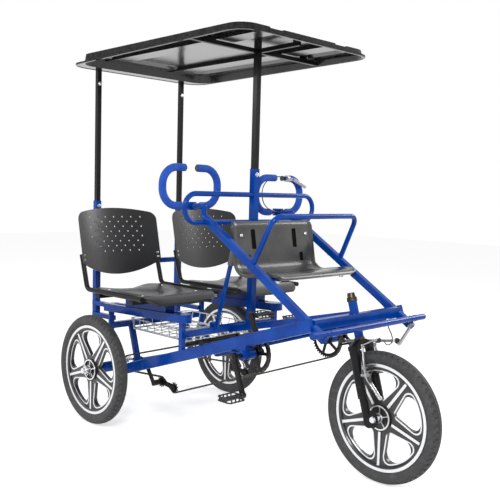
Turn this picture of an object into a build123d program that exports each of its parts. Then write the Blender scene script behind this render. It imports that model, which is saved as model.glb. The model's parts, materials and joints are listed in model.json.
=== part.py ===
"""Family tricycle: two adults pedal side by side behind a child bench, all under a moulded roof.

Millimetres. While modelling, X runs forward from the rear axle, Y to the left and Z up from the ground.
write() moves every node back by middle_x, so that the origin lies under the middle of the vehicle.
"""
import math
import os

from build123d import *

# ---- driving sizes ---------------------------------------------------------------------------
wheel_radius = 255.0          # 20 inch wheel over its tyre
tyre_width, tyre_height = 54.0, 47.0
rim_width = 36.0
hub_ring_radius = 46.0
spoke_count = 5
track = 863.0                 # between the rear tyres' middles
wheelbase = 1330.0
rake, fork_offset = 16.4, 33.0               # steering axis leans back, and passes behind the hub
fit_gap = 0.05                # radial clearance of a shaft in its bearing
paint_gap = 0.3               # between soft or curved faces that only lie together

frame_half = 290.0            # side rails, seat beams and uprights
rail_rear = (95.0, 258.0)     # X, Z of the rail's middle line at its rear end
rail_depth, rail_width = 50.0, 25.0
cradle_depth = 22.0           # tube under the rail that turns up behind the seat
cradle_front_x = 800.0
upright_rear_x, upright_front_x = -60.0, 477.0
upright_size = 22.0
beam_z, beam_rise = 530.0, 20.0
beam_front_x = 520.0
beam_height, beam_leg, beam_span = 36.0, 22.0, 70.0

head_low, head_high, head_diameter = 313.0, 456.0, 36.0    # up the steering axis, from its foot
crossmember_back, crossmember_z = 130.0, 621.0             # behind the front axle, over the ground
crossmember_size = (25.0, 40.0)
column_half = 275.0           # middle of each column tube from the vehicle's middle
column_top_x, column_slope = 600.0, -0.625
column_ahead, column_under = 62.0, 47.0                    # foot of the columns from the crossmember
column_size = 30.0
footrest_half, footrest_diameter = 360.0, 25.0
backbone_size = 30.0

post_x, post_size, post_inner = 607.0, 30.0, 25.0
post_foot_z, post_sleeve_z = 480.0, 1205.0
rear_post_x, rear_post_half, rear_post_size, rear_post_inner = -235.0, 262.0, 28.0, 22.0
rear_post_foot_z, rear_sleeve_z, rear_cross_z = 430.0, 1040.0, 724.0

hoop_high_z, hoop_low_z = 1090.5, 970.0      # middles of the hoop's two tubes
hoop_half, hoop_diameter = 399.0, 22.0
handrail_foot_x, handrail_top = 882.0, (980.0, 1010.0)
handrail_half, handrail_diameter = 262.0, 22.0

roof_rear_x, roof_front_x, roof_half = -275.0, 930.0, 410.0
roof_skin, roof_lip, roof_ledge = 4.0, 12.0, 53.0
roof_wall_rear, roof_wall_front = 44.0, 29.0

seat_half = 275.0             # middle of each adult seat
seat_rear_x, seat_front_x = 30.0, 480.0

crank_x, crank_drop, crank_half = 865.0, 56.0, 275.0       # drop below the side rail
crank_length = 152.0
chain_half = 228.0            # chain line from the vehicle's middle
ring_teeth, sprocket_teeth, pulley_teeth, chain_pitch = 40, 18, 11, 12.7

rim_radius = wheel_radius - tyre_height
half_track = track / 2
rear_extreme_x = min(-wheel_radius, roof_rear_x)
middle_x = (rear_extreme_x + wheelbase + wheel_radius) / 2
crossmember_x = wheelbase - crossmember_back
column_foot = (crossmember_x + column_ahead, crossmember_z - column_under)
column_top = (column_top_x, column_foot[1] + (column_top_x - column_foot[0]) * column_slope)
rail_front = (crossmember_x - 12.0, crossmember_z - 4.0)   # the rails run up to the crossmember
steering_up = Vector(-math.sin(math.radians(rake)), 0, math.cos(math.radians(rake)))
steering_forward = Vector(math.cos(math.radians(rake)), 0, math.sin(math.radians(rake)))
steering_foot = Vector(wheelbase, 0, wheel_radius) - steering_forward * fork_offset
column_down = Vector(column_foot[0] - column_top[0], 0, column_foot[1] - column_top[1]).normalized()
column_up_normal = Vector(-column_down.Z, 0, column_down.X)
rail_slope = (rail_front[1] - rail_rear[1]) / (rail_front[0] - rail_rear[0])
rail_along = Vector(1, 0, rail_slope).normalized()
rail_normal = Vector(-rail_along.Z, 0, rail_along.X)
sides = {"right": -1, "left": 1}


# ---- shared shapes ---------------------------------------------------------------------------
def write(name, *solids):
    """Write one node, moved so that the origin lies under the vehicle's middle."""
    os.makedirs("parts", exist_ok=True)
    moved = [Pos(-middle_x, 0, 0) * solid for piece in solids for solid in piece.solids()]
    export_step(moved[0] if len(moved) == 1 else Compound(children=moved), f"parts/{name}.step")


def round_bar(start, end, diameter, bore=0.0):
    """Straight round tube between two points."""
    start, end = Vector(start), Vector(end)
    profile = Circle(diameter / 2)
    if bore:
        profile -= Circle(bore / 2)
    return extrude(Plane(origin=start, z_dir=end - start) * profile, amount=(end - start).length)


def box_bar(start, end, side, width, depth, corner, wall=0.0):
    """Straight box tube between two points: width lies along side, depth across it."""
    start, end = Vector(start), Vector(end)
    profile = RectangleRounded(width, depth, corner) if corner else Rectangle(width, depth)
    if wall:
        profile -= RectangleRounded(width - 2 * wall, depth - 2 * wall, max(corner - wall, 0.5))
    plane = Plane(origin=start, x_dir=side, z_dir=end - start)
    return extrude(plane * profile, amount=(end - start).length)


def bent_tube(points, radii, diameter, closed=False):
    """Round tube along straight runs joined by arcs."""
    path = FilletPolyline(*points, radius=radii, close=closed)
    section = Plane(origin=path @ 0, z_dir=path % 0) * Circle(diameter / 2)
    return sweep(section, path=path)


def cylinder_y(x, z, radius, y_from, y_to, bore=0.0):
    """Cylinder along Y between two stations."""
    profile = Circle(radius)
    if bore:
        profile -= Circle(bore)
    plane = Plane(origin=(x, y_from, z), x_dir=(1, 0, 0), z_dir=(0, 1 if y_to > y_from else -1, 0))
    return extrude(plane * profile, amount=abs(y_to - y_from))


def on_rail(x, lift=0.0):
    """Point of the side rail's middle line at X, lifted square to the rail; Y is left at zero."""
    return Vector(x, 0, rail_rear[1] + (x - rail_rear[0]) * rail_slope) + rail_normal * lift


crank_z = on_rail(crank_x).Z - crank_drop


def at_y(point, y):
    return Vector(point.X, y, point.Z)


def on_steering(distance, forward=0.0, y=0.0):
    """Point beside the steering axis, measured up the axis from its foot behind the front hub."""
    point = steering_foot + steering_up * distance + steering_forward * forward
    return at_y(point, y)


def column_point(x, lift=0.0):
    """Point of the column tubes' middle line at X."""
    slope = column_down.Z / column_down.X
    return Vector(x, 0, column_top[1] + (x - column_top[0]) * slope) + column_up_normal * lift


# ---- wheels ----------------------------------------------------------------------------------
axle_radius, front_axle_radius = 10.0, 6.0
hub_half = 24.0


def lathe_y(outline, x, y, z):
    """Turn an outline of (station, radius) pairs about a line along Y through the given point."""
    turned = revolve(Plane.XY * make_face(Polyline(*outline, close=True)), Axis.X)
    return Pos(x, y, z) * Rot(0, 0, 90) * turned


def tyre(x, y):
    """Tyre as a turned ring: its beads lie in the rim, its shoulders bulge over the rim's edges."""
    half, seat, edge = tyre_width / 2, rim_radius - 5, rim_radius + 0.3
    outline = [(12.5, seat), (13.5, edge), (18, edge + 1), (half, wheel_radius - 25), (half - 2, wheel_radius - 11),
               (half - 11, wheel_radius - 2), (0, wheel_radius)]
    outline += [(-station, radius) for station, radius in reversed(outline[:-1])]
    return lathe_y(outline, x, y, wheel_radius)


def spoke_opening():
    """Rounded three-cornered opening between two spokes, its narrow end towards the hub."""
    tip, reach, half_bar = 60.0, rim_radius - 30, 19.0
    edge = math.pi / spoke_count - math.asin(half_bar / reach)
    high, low = (reach * math.cos(edge), reach * math.sin(edge)), (reach * math.cos(edge), -reach * math.sin(edge))
    face = make_face(Line((tip, 0), high) + ThreePointArc(high, (reach, 0), low) + Line(low, (tip, 0)))
    face = fillet(face.vertices().sort_by(Axis.X)[1:], 34)
    return fillet(face.vertices().sort_by(Axis.X)[0], 10)


def cast_wheel(x, y, bore):
    """Cast wheel: rim, flat web with five openings, hub with a raised ring, machined spoke ribs."""
    half, well = rim_width / 2, rim_radius - 22
    wheel = lathe_y([(-half, rim_radius), (-half, well + 5), (5 - half, well), (half - 5, well), (half, well + 5),
                     (half, rim_radius), (14, rim_radius), (13, rim_radius - 5.3), (-13, rim_radius - 5.3),
                     (-14, rim_radius)], 0, 0, 0)
    web = Circle(well + 2) - Circle(hub_ring_radius - 3)
    for index in range(spoke_count):
        web -= Rot(0, 0, 90 + index * 360 / spoke_count) * spoke_opening()
    wheel += Rot(90, 0, 0) * extrude(web, amount=9, both=True)
    wheel += lathe_y([(-hub_half, bore), (-hub_half, 20), (-13, 20), (-13, hub_ring_radius - 4),
                      (-20, hub_ring_radius - 4), (-20, hub_ring_radius + 2), (20, hub_ring_radius + 2),
                      (20, hub_ring_radius - 4), (13, hub_ring_radius - 4), (13, 20), (hub_half, 20), (hub_half, bore)],
                     0, 0, 0)
    for index in range(spoke_count):
        wheel += Rot(0, 36 + index * 360 / spoke_count, 0) * Pos(0, 0, 121) * Box(11, 24, 132)
        wheel += Rot(0, index * 360 / spoke_count, 0) * Pos(0, 0, 31) * Box(4, 34, 25)
    return Pos(x, y, wheel_radius) * wheel


def toothed_disc(teeth, thickness, hole=0.0):
    """Sprocket in the X-Y plane; the chain's rollers would sit in its gullets."""
    pitch = chain_pitch / (2 * math.sin(math.pi / teeth))
    root, tip = pitch - 3.4, pitch + 3.4
    face = Circle(tip)
    if hole:
        face -= Circle(hole)
    gullet = make_face(Polyline((root, -2.3), (root, 2.3), (tip + 1, 4.6), (tip + 1, -4.6), close=True))
    for index in range(teeth):
        face -= Rot(0, 0, index * 360 / teeth) * gullet
    return extrude(face, amount=thickness / 2, both=True)


wheel_places = {"front": (wheelbase, 0.0), "right_rear": (0.0, -half_track), "left_rear": (0.0, half_track)}
for name, (x, y) in wheel_places.items():
    write(f"{name}_tyre", tyre(x, y))
    write(f"{name}_wheel", cast_wheel(x, y, front_axle_radius + fit_gap if name == "front" else axle_radius))

# each rear wheel is keyed to its own half axle, which carries the sprocket of the rider on that side
housing_from, housing_to = 268.0, 398.0
block_from, block_to = 150.0, 195.0
for side, sign in sides.items():
    shaft = cylinder_y(0, wheel_radius, axle_radius, sign * 138, sign * (half_track - hub_half - 0.2))
    shaft += cylinder_y(0, wheel_radius, axle_radius - 0.02, sign * 400, sign * (half_track + 40))
    shaft += cylinder_y(0, wheel_radius, 18, sign * (half_track + hub_half + 0.2), sign * (half_track + 44))
    shaft += cylinder_y(0, wheel_radius, 13, sign * (half_track + 40), sign * (half_track + 57))
    shaft += Pos(0, sign * chain_half, wheel_radius) * Rot(90, 0, 0) * toothed_disc(sprocket_teeth, 2.0)
    shaft += cylinder_y(0, wheel_radius, 22, sign * (chain_half + 1), sign * (chain_half + 20))
    write(f"{side}_half_axle", shaft)


# ---- side frames -----------------------------------------------------------------------------
housing_radius, block_radius = 25.0, 22.0
cradle_lift = -(rail_depth + cradle_depth) / 2
seat_support_z = 610.0                        # top of the riser plates, where the seat tubes rest
column_start, column_end = Vector(column_top[0], 0, column_top[1]), Vector(column_foot[0], 0, column_foot[1])
columns, rails, housings, post_shells = {}, {}, {}, {}
for side, sign in sides.items():
    y, column_y = sign * frame_half, sign * column_half
    columns[side] = box_bar(at_y(column_start, column_y), at_y(column_end, column_y), (0, 1, 0), column_size,
                            column_size, 4)
    rails[side] = box_bar(at_y(on_rail(20), y), at_y(on_rail(rail_front[0] + 20), y), (0, 1, 0), rail_width, rail_depth, 7)
    housings[side] = cylinder_y(0, wheel_radius, housing_radius, sign * housing_from, sign * housing_to)
    post_shells[side] = Pos(rear_post_x, sign * rear_post_half, (rear_post_foot_z + rear_sleeve_z) / 2) * Box(
        rear_post_size, rear_post_size, rear_sleeve_z - rear_post_foot_z)
crossmember = Pos(crossmember_x, 0, crossmember_z) * Box(crossmember_size[0], 2 * column_half, crossmember_size[1])
head_axis = on_steering(head_low), on_steering(head_high)
head_envelope = round_bar(*head_axis, head_diameter)

side_frames = {}
for side, sign in sides.items():
    y = sign * frame_half
    # the cradle tube runs under the rail, turns up in front of the axle and stands up to the seat beam
    low, corner = on_rail(cradle_front_x, cradle_lift), on_rail(62, cradle_lift)
    route = FilletPolyline((low.X, y, low.Z), (corner.X, y, corner.Z), (upright_rear_x, y, 392.0),
                           (upright_rear_x, y, beam_z), radius=38)
    section = Plane(origin=route @ 0, x_dir=(0, 1, 0), z_dir=route % 0) * RectangleRounded(rail_width, cradle_depth, 6)
    cradle = sweep(section, path=route)

    # seat beam: a flat bar with a round nose and a long window, on an upright from the rail
    tilt = math.degrees(math.atan2(beam_rise, beam_front_x - upright_rear_x))
    beam_length = beam_front_x - upright_rear_x + 15
    outline = Pos(beam_length / 2 - 40, 0) * RectangleRounded(beam_length + 80, beam_span, beam_span / 2 - 0.5)
    outline &= Pos(beam_length / 2, 0) * Rectangle(beam_length, beam_span)
    outline -= Pos(beam_length / 2 - 20, 0) * RectangleRounded(beam_length - 130, beam_span - 2 * beam_leg, 12)
    beam = Pos(upright_rear_x - 15, y, beam_z) * Rot(0, -tilt, 0) * extrude(outline, amount=beam_height / 2, both=True)
    upright = Pos(upright_front_x, y, 470) * Box(upright_size, upright_size, 140)
    riser = Pos(240, y - sign * 7, seat_support_z - 9) * Box(320, 100, 18)
    riser += Pos(240, y, seat_support_z - 30) * Box(300, 50, 60)
    side_frame = (cradle + beam + upright + (riser - beam)) - rails[side] - housings[side]

    # two short tubes reach back to the roof post
    for link_z in (rear_post_foot_z + 43, beam_z):
        link = Pos((rear_post_x + upright_rear_x) / 2, sign * 275, link_z) * Box(upright_rear_x - rear_post_x, 22, 22)
        side_frame += link - post_shells[side]
    side_frames[side] = side_frame.solids().sort_by(SortBy.VOLUME)[-1]
    write(f"{side}_side_frame", side_frames[side])
    side_rail = rails[side] - columns[side] - crossmember - cradle - housings[side]
    write(f"{side}_side_rail", side_rail.solids().sort_by(SortBy.VOLUME)[-1])
write("axle_housings", *[housings[side] - cylinder_y(0, wheel_radius, axle_radius + fit_gap, sign * 260, sign * 410)
                         for side, sign in sides.items()])

# two cross bars tie the side frames together, and carry the inner bearings and the backbone
inner_face = frame_half - rail_width / 2
rear_bar = Pos(upright_rear_x, 0, 440) * Box(22, 2 * frame_half, 30)
axle_beam = rear_bar - side_frames["right"] - side_frames["left"]
axle_beam = axle_beam.solids().sort_by(SortBy.VOLUME)[-1]
for sign in sides.values():
    middle = sign * (block_from + block_to) / 2
    axle_beam += box_bar((upright_rear_x, middle, 440), (0, middle, wheel_radius), (0, 1, 0), 30, 20, 3)
    axle_beam += cylinder_y(0, wheel_radius, block_radius, sign * block_from, sign * block_to)
axle_beam += cylinder_y(0, wheel_radius, 15, -block_from, block_from)
for sign in sides.values():
    axle_beam -= cylinder_y(0, wheel_radius, axle_radius + fit_gap, sign * 130, sign * (block_to + 5))
write("rear_axle_beam", axle_beam)

front_bar = Pos(upright_front_x, 0, 478) * Box(30, 2 * frame_half, 30)
front_bar = (front_bar - side_frames["right"] - side_frames["left"]).solids().sort_by(SortBy.VOLUME)[-1]
write("seat_crossbar", front_bar)

# the backbone rises from the front bar to the head tube, just behind the crossmember
backbone_rear_z, backbone_head = 469.0, (-25.0, 10.0)
backbone = box_bar((upright_front_x, 0, backbone_rear_z),
                   (crossmember_x + backbone_head[0], 0, crossmember_z + backbone_head[1]), (0, 1, 0),
                   backbone_size, backbone_size, 4)
write("backbone", (backbone - front_bar - head_envelope).solids().sort_by(SortBy.VOLUME)[-1])


# ---- front frame -----------------------------------------------------------------------------
steerer_radius, shaft_radius = 12.7, 11.0
write("head_tube", round_bar(*head_axis, head_diameter, 2 * (steerer_radius + fit_gap)))
cut_crossmember = crossmember - head_envelope - columns["right"] - columns["left"]
write("front_crossmember", cut_crossmember.solids().sort_by(SortBy.VOLUME)[-1])
footrest_at = column_point(column_foot[0] - 5.5, column_size / 2 + footrest_diameter / 2 - 0.6)
footrest = round_bar((footrest_at.X, -footrest_half, footrest_at.Z),
                     (footrest_at.X, footrest_half, footrest_at.Z), footrest_diameter)
write("footrest_bar", footrest - columns["right"] - columns["left"])
shaft_end = column_end + column_down * 14
shaft_hole = round_bar(at_y(column_start - column_down * 20, column_half),
                       at_y(column_end + column_down * 30, column_half), 2 * (shaft_radius + fit_gap))
write("right_column_tube", columns["right"])
write("left_column_tube", columns["left"] - shaft_hole)

foot_z = column_point(handrail_foot_x).Z
handrail = bent_tube([(handrail_foot_x, -column_half, foot_z), (handrail_top[0], -handrail_half, handrail_top[1]),
                      (handrail_top[0], handrail_half, handrail_top[1]), (handrail_foot_x, column_half, foot_z)],
                     48, handrail_diameter)
write("child_handrail", (handrail - columns["right"] - columns["left"]).solids().sort_by(SortBy.VOLUME)[-1])

# racetrack hoop in front of the riders: upright in the post's plane, on the post and both columns
post_middle_z, post_tall = (post_foot_z + post_sleeve_z) / 2, post_sleeve_z - post_foot_z
post_envelope = Pos(post_x, 0, post_middle_z) * Box(post_size, post_size, post_tall)
hoop_tall = hoop_high_z - hoop_low_z
hoop_plane = Plane(origin=(post_x, 0, (hoop_high_z + hoop_low_z) / 2), x_dir=(0, 1, 0), z_dir=(1, 0, 0))
hoop_path = hoop_plane * SlotOverall(2 * hoop_half, hoop_tall).wire()
hoop = sweep(Plane(origin=hoop_path @ 0, z_dir=hoop_path % 0) * Circle(hoop_diameter / 2), path=hoop_path)
hoop -= [post_envelope, columns["right"], columns["left"]]
write("hoop_rail", *hoop.solids().sort_by(SortBy.VOLUME)[-2:])


# ---- posts and roof --------------------------------------------------------------------------
def lofted(plane, sections):
    """Loft through rounded rectangles given as (height, length, width, corner) above a plane."""
    return loft([plane.offset(height) * RectangleRounded(length, width, corner)
                 for height, length, width, corner in sections])


roof_rim_z = 1699.0                           # underside of the rim below the roof's middle
roof_tilt = 1.2                               # degrees, front up
roof_mid_x = (roof_rear_x + roof_front_x) / 2
roof_plane = Plane(origin=(roof_mid_x, 0, roof_rim_z), x_dir=(math.cos(math.radians(roof_tilt)), 0,
                   math.sin(math.radians(roof_tilt))), z_dir=(-math.sin(math.radians(roof_tilt)), 0,
                   math.cos(math.radians(roof_tilt))))
roof_long = (roof_front_x - roof_rear_x) - 2 * roof_lip
roof_wide = 2 * (roof_half - roof_lip)
shoulder_in, panel_in, panel_rise = 120.0, 170.0, 10.0


def roof_height(x):
    """Height of the roof's rim plane at X."""
    return roof_rim_z + (x - roof_mid_x) * math.tan(math.radians(roof_tilt))


body_long = roof_long - roof_ledge
top_rise = (roof_wall_rear + roof_wall_front) / 2
top_tilt = roof_tilt - math.degrees(math.atan((roof_wall_rear - roof_wall_front) / body_long))
panel_plane = Plane(roof_plane.location * Pos(roof_ledge / 2, 0, top_rise) * Rot(0, roof_tilt - top_tilt, 0))
channel_half, channel_width, channel_depth = 200.0, 80.0, 5.0


def roof_shell(inset, corner):
    """Tray of the roof: walls from the rim up to the top, and the raised panel within its shoulder."""
    base = roof_plane.offset(-1 if inset else 0) * Pos(roof_ledge / 2, 0)
    top = panel_plane.offset(-inset)
    long, wide = body_long - 2 * inset, roof_wide - 2 * inset
    tray = loft([base * RectangleRounded(long, wide, corner), top * RectangleRounded(long - 16, wide - 16, corner - 8)])
    panel = loft([top.offset(-0.1) * RectangleRounded(long - shoulder_in, wide - shoulder_in, 50 - inset),
                  top.offset(panel_rise) * RectangleRounded(long - panel_in, wide - panel_in, 40 - inset)])
    shell = tray + panel
    for sign in sides.values():
        depth = channel_depth + panel_rise + 10
        channel = top * Pos(0, sign * channel_half, depth / 2 - channel_depth)
        shell -= channel * Box(2 * body_long, channel_width + 2 * inset, depth)
    return shell


rim_long, rim_wide, rim_thick = roof_long + 2 * roof_lip, roof_wide + 2 * roof_lip, 6.0
rim = extrude(roof_plane * RectangleRounded(rim_long, rim_wide, 96), amount=rim_thick)
for inset in (1.0, 7.0):                      # two fine ridges run round under the rim
    ridge = RectangleRounded(rim_long - 2 * inset, rim_wide - 2 * inset, 95 - inset)
    ridge -= RectangleRounded(rim_long - 2 * inset - 6, rim_wide - 2 * inset - 6, 92 - inset)
    rim += extrude(roof_plane.offset(-1.5) * ridge, amount=2)
roof = (rim + roof_shell(0.0, 84)) - roof_shell(roof_skin, 80)
write("roof", roof.solids().sort_by(SortBy.VOLUME)[-1])

bar_size, bar_z = 18.0, roof_height(post_x) + 11
cross_roof_bar = Pos(post_x, 0, bar_z) * Box(bar_size, roof_wide - 26, bar_size)
arm_front_x = 850.0
forward_arm = box_bar((post_x, 0, bar_z), (arm_front_x, 0, bar_z + (arm_front_x - post_x) * math.tan(
    math.radians(roof_tilt))), (0, 1, 0), bar_size, bar_size, 2)
pad_from, pad_tall = bar_z + bar_size / 2 - 2, top_rise + 10
pad_places = [(post_x, -300, 0), (post_x, 0, 0), (post_x, 300, 0), (arm_front_x - 15, 0, 5)]
bar_pads = [Pos(x, y, pad_from + lift + pad_tall / 2) * Box(30, bar_size, pad_tall) for x, y, lift in pad_places]
above_roof = panel_plane * Pos(0, 0, 100 - roof_skin / 2 - channel_depth) * Box(3000, 2000, 200)
roof_bars = (cross_roof_bar + forward_arm + bar_pads) - roof
write("roof_bars", (roof_bars - (above_roof - roof_shell(roof_skin, 80))).solids().sort_by(SortBy.VOLUME)[-1])

centre_post = post_envelope - backbone
centre_post = centre_post.solids().sort_by(SortBy.VOLUME)[-1]
socket = Pos(post_x, 0, post_sleeve_z - 60) * Box(post_inner + 2 * fit_gap, post_inner + 2 * fit_gap, 121)
write("centre_post", centre_post - socket)
sleeve_depth = 120.0
post_from, post_to = post_sleeve_z - sleeve_depth, bar_z - bar_size / 2
post_tops = [Pos(post_x, 0, (post_from + post_to) / 2) * Box(post_inner, post_inner, post_to - post_from)]
rear_top_z = roof_height(rear_post_x) + rim_thick / 2
rear_posts = Pos(rear_post_x, 0, rear_cross_z) * Box(25, 2 * rear_post_half, 25)
rear_posts += list(post_shells.values())
for sign in sides.values():
    y = sign * rear_post_half
    rear_posts -= Pos(rear_post_x, y, rear_sleeve_z - 60) * Box(rear_post_inner + 2 * fit_gap,
                                                                rear_post_inner + 2 * fit_gap, 121)
    top_from, top_to = rear_sleeve_z - 120, rear_top_z
    top = Pos(rear_post_x, y, (top_from + top_to) / 2) * Box(rear_post_inner, rear_post_inner, top_to - top_from)
    post_tops.append((top - roof).solids().sort_by(SortBy.VOLUME)[-1])
write("rear_post_frame", rear_posts)
write("roof_posts", *post_tops)


# ---- adult seats -----------------------------------------------------------------------------
seat_tube, seat_tube_half, seat_tube_z = 22.0, 213.0, 641.0
pan_skin, pan_width, seat_bar_height = 9.0, 396.0, 24.0
pan_mid = seat_support_z + seat_bar_height + paint_gap + pan_skin / 2
back_width, back_skin, back_hollow, back_lean = 444.0, 6.0, 44.0, 12.7   # hollow: its flanks come forward
back_low, back_corner_z, back_shoulder_z, back_high = 695.0, 757.0, 985.0, 1009.0
back_foot_x = -14.0                          # middle of the back at its lowest point
hole_radius, hole_pitch, hole_row, hole_first_z, hole_rows = 4.0, 48.0, 23.0, 966.0, 8


def upright_strip(points, radius, thickness, y, width):
    """Bent sheet: an X-Z line thickened on both sides and pushed across Y about its middle."""
    line = FilletPolyline(*points, radius=radius)
    face = make_face(offset(line, amount=thickness / 2, side=Side.BOTH, closed=True))
    sheet = extrude(face, amount=width / 2, both=True)
    return Pos(0, y, 0) * Rot(90, 0, 0) * sheet


def front_outline(width, height, corner, y, z):
    """Long rounded bar along X, to trim a sheet to an outline seen from the front."""
    return Pos(0, y, z) * extrude(Plane.YZ * RectangleRounded(width, height, corner), amount=1200, both=True)


def seat_back(y):
    """Curved back rest: hollow in plan, arched on top, deeply rounded below, with rows of round holes."""
    half = back_width / 2
    bend = (half**2 + back_hollow**2) / (2 * back_hollow)
    lean = Vector(-math.sin(math.radians(back_lean)), 0, math.cos(math.radians(back_lean)))
    curve = Circle(bend + back_skin / 2) - Circle(bend - back_skin / 2)
    curve &= Pos(-bend, 0) * Rectangle(1.2 * bend, 2 * bend)
    start = Plane(origin=Vector(back_foot_x + bend, y, back_low) - lean * 30)
    sheet = extrude(start * curve, amount=back_high - back_low + 80, dir=lean)
    foot, corner, crown = (0, back_low), (half, back_corner_z), (half, back_shoulder_z)
    edges = ThreePointArc((-half, back_corner_z), foot, corner) + Line(corner, crown)
    edges += ThreePointArc(crown, (0, back_high), (-half, back_shoulder_z))
    edges += Line((-half, back_shoulder_z), (-half, back_corner_z))
    face = make_face(edges)
    face = fillet(face.vertices().group_by(Axis.Y)[-1], 40)
    face = fillet(face.vertices().filter_by(lambda v: abs(v.Y - back_corner_z) < 1), 24)
    for row in range(hole_rows):
        count = 7 - row % 2
        centres = [((index - (count - 1) / 2) * hole_pitch, hole_first_z - row * hole_row) for index in range(count)]
        face -= [Pos(*centre) * Circle(hole_radius) for centre in centres]
    return sheet & (Pos(0, y, 0) * extrude(Plane.YZ * face, amount=300, both=True))


seat_arms = []
for side, sign in sides.items():
    y = sign * seat_half
    pan = upright_strip([(seat_rear_x, 690), (seat_rear_x + 20, pan_mid + 10), (105, pan_mid), (385, pan_mid),
                         (seat_front_x - 44, pan_mid + 12), (seat_front_x, pan_mid - 30)], 24, pan_skin, y, pan_width)
    plan = Pos(260, y, 0) * extrude(RectangleRounded(500, pan_width, 70), amount=800)
    pan = pan & plan
    write(f"{side}_seat_pan", pan)
    back = seat_back(y)
    write(f"{side}_seat_back", back)

    # two tubes come forward under the pan from behind the back, on two flat cross bars
    arms = Part()
    for wing in (-1, 1):
        tube_y = y + wing * seat_tube_half
        arms += bent_tube([(-12, tube_y, 796), (36, tube_y, seat_tube_z), (450, tube_y, seat_tube_z)], 30, seat_tube)
    for bar_x in (120, 370):
        arms += Pos(bar_x, y, seat_support_z + seat_bar_height / 2) * Box(26, 2 * seat_tube_half, seat_bar_height)
    seat_arms.append((arms - back - pan).solids().sort_by(SortBy.VOLUME)[-1])
write("seat_arms", *seat_arms)


# ---- child bench -----------------------------------------------------------------------------
bench_half, bench_skin, flange_skin = 250.0, 9.0, 6.0
bench_line = [(708, 966), (724, 984), (758, 785), (802, 760), (940, 781), (992, 778), (1000, 760)]
bench = upright_strip(bench_line, [9, 55, 60, 60, 9], bench_skin, 0, 2 * bench_half)
frontal = front_outline(2 * bench_half, 300, 36, 0, 842)
plan = Pos(852, 0, 0) * extrude(RectangleRounded(306, 2 * bench_half, 40), amount=1000)
bench = bench & (frontal + Pos(0, 0, 755) * Box(2100, 2 * bench_half, 100)) & plan
flange = upright_strip([(720, 940), (750, 790), (780, 762)], 40, 22, 0, 2 * bench_half)
flange -= Pos(750, 0, 850) * Box(200, 2 * (bench_half - flange_skin), 400)
bench = (bench + flange).solids().sort_by(SortBy.VOLUME)[-1]
# hand slots and drain slots: distance from the middle, X, Z, height, width
for slot_y, slot_x, slot_z, slot_height, slot_width in ((128, 745, 905, 78, 12), (164, 772, 822, 34, 9)):
    for sign in sides.values():
        slot = Rectangle(slot_height, slot_width) if slot_width < 12 else SlotOverall(slot_height, slot_width)
        opening = extrude(Plane.YZ * Rot(0, 0, 90) * slot, amount=34, both=True)
        bench -= Pos(slot_x, sign * slot_y, slot_z) * Rot(0, -10, 0) * opening
write("child_bench", bench)
support = round_bar((953, -column_half, 764), (953, column_half, 764), 20)
support += round_bar((723, -column_half, 913), (723, column_half, 913), 20)
for sign in sides.values():
    support += Pos(953, sign * 200, 772) * Box(26, 22, 16)
    support += Pos(730, sign * 200, 913) * Box(22, 22, 16)
support -= columns["right"] + columns["left"]
support -= bench
pieces = support.solids().sort_by(SortBy.VOLUME)[-2:]
write("child_bench_support", *pieces)


# ---- handlebars ------------------------------------------------------------------------------
bar_plane_x = 497.0
bar_middle_z = {"right": 1118.0, "left": 1091.0}          # the left ring is mounted lower
bar_gap = {"right": 64.0, "left": 44.0}                   # between the ring's free ends
bar_half, bar_tall, bar_bend = 153.0, 162.0, 74.0
bar_tube, grip_tube, stem_tube = 22.0, 33.0, 25.0
clamp_half, foam_stop = 19.0, 52.0
lever_reach = 52.0                            # part of the left bar's free end held by the brake lever


def half_ring(side, wing, start, diameter, bore=0.0, stop=0.0):
    """Half of an open ring handlebar, from its free end at the top round to the clamp below."""
    y, low = sides[side] * column_half, bar_middle_z[side] - bar_tall / 2
    corners = [(start, low + bar_tall), (bar_half, low + bar_tall), (bar_half, low), (stop, low)]
    route = FilletPolyline(*[(bar_plane_x, y + wing * out, z) for out, z in corners], radius=bar_bend)
    profile = Circle(diameter / 2)
    if bore:
        profile -= Circle(bore / 2)
    return sweep(Plane(origin=route @ 0, z_dir=route % 0) * profile, path=route)


for side, sign in sides.items():
    y, bar_low = sign * column_half, bar_middle_z[side] - bar_tall / 2
    ring_end = bar_gap[side] / 2
    bars = half_ring(side, 1, ring_end, bar_tube) + half_ring(side, -1, ring_end, bar_tube)
    bars += Pos(bar_plane_x + 1, y, bar_low) * Box(34, 2 * clamp_half, 34)
    # stem: out of the column's end, up to the ring's level, and back to its clamp
    mouth = at_y(column_start - column_down * paint_gap, y)
    level_run = (bar_low - mouth.Z) / -column_down.Z
    run = min(level_run, 36)                  # the high right ring has a second bend
    knees = [mouth - column_down * run]
    if run < level_run:
        knees = [mouth - column_down * 18, Vector(mouth.X - 15, y, bar_low)]
    for start, end in zip([mouth, *knees], [*knees, Vector(bar_plane_x + 6, y, bar_low)]):
        bars += round_bar(start, end, stem_tube)
    for knee in knees:                        # the tube is mitred and welded at each bend
        bars += Pos(*knee) * Sphere(stem_tube / 2)
    bars += round_bar(mouth, mouth - column_down * 9, stem_tube + 4)
    if side == "left":                        # the left shaft runs down through the column to the pitman arm
        bars += round_bar(mouth - column_down * 8, at_y(shaft_end, y), 2 * shaft_radius)
    write(f"{side}_handlebar", bars)
    grips = []
    for wing in (-1, 1):
        held = lever_reach if (side == "left" and wing == 1) else 0.0
        grips.append(half_ring(side, wing, ring_end + 1 + held, grip_tube, bar_tube + 0.2, foam_stop))
    write(f"{side}_grips", *grips)

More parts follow.
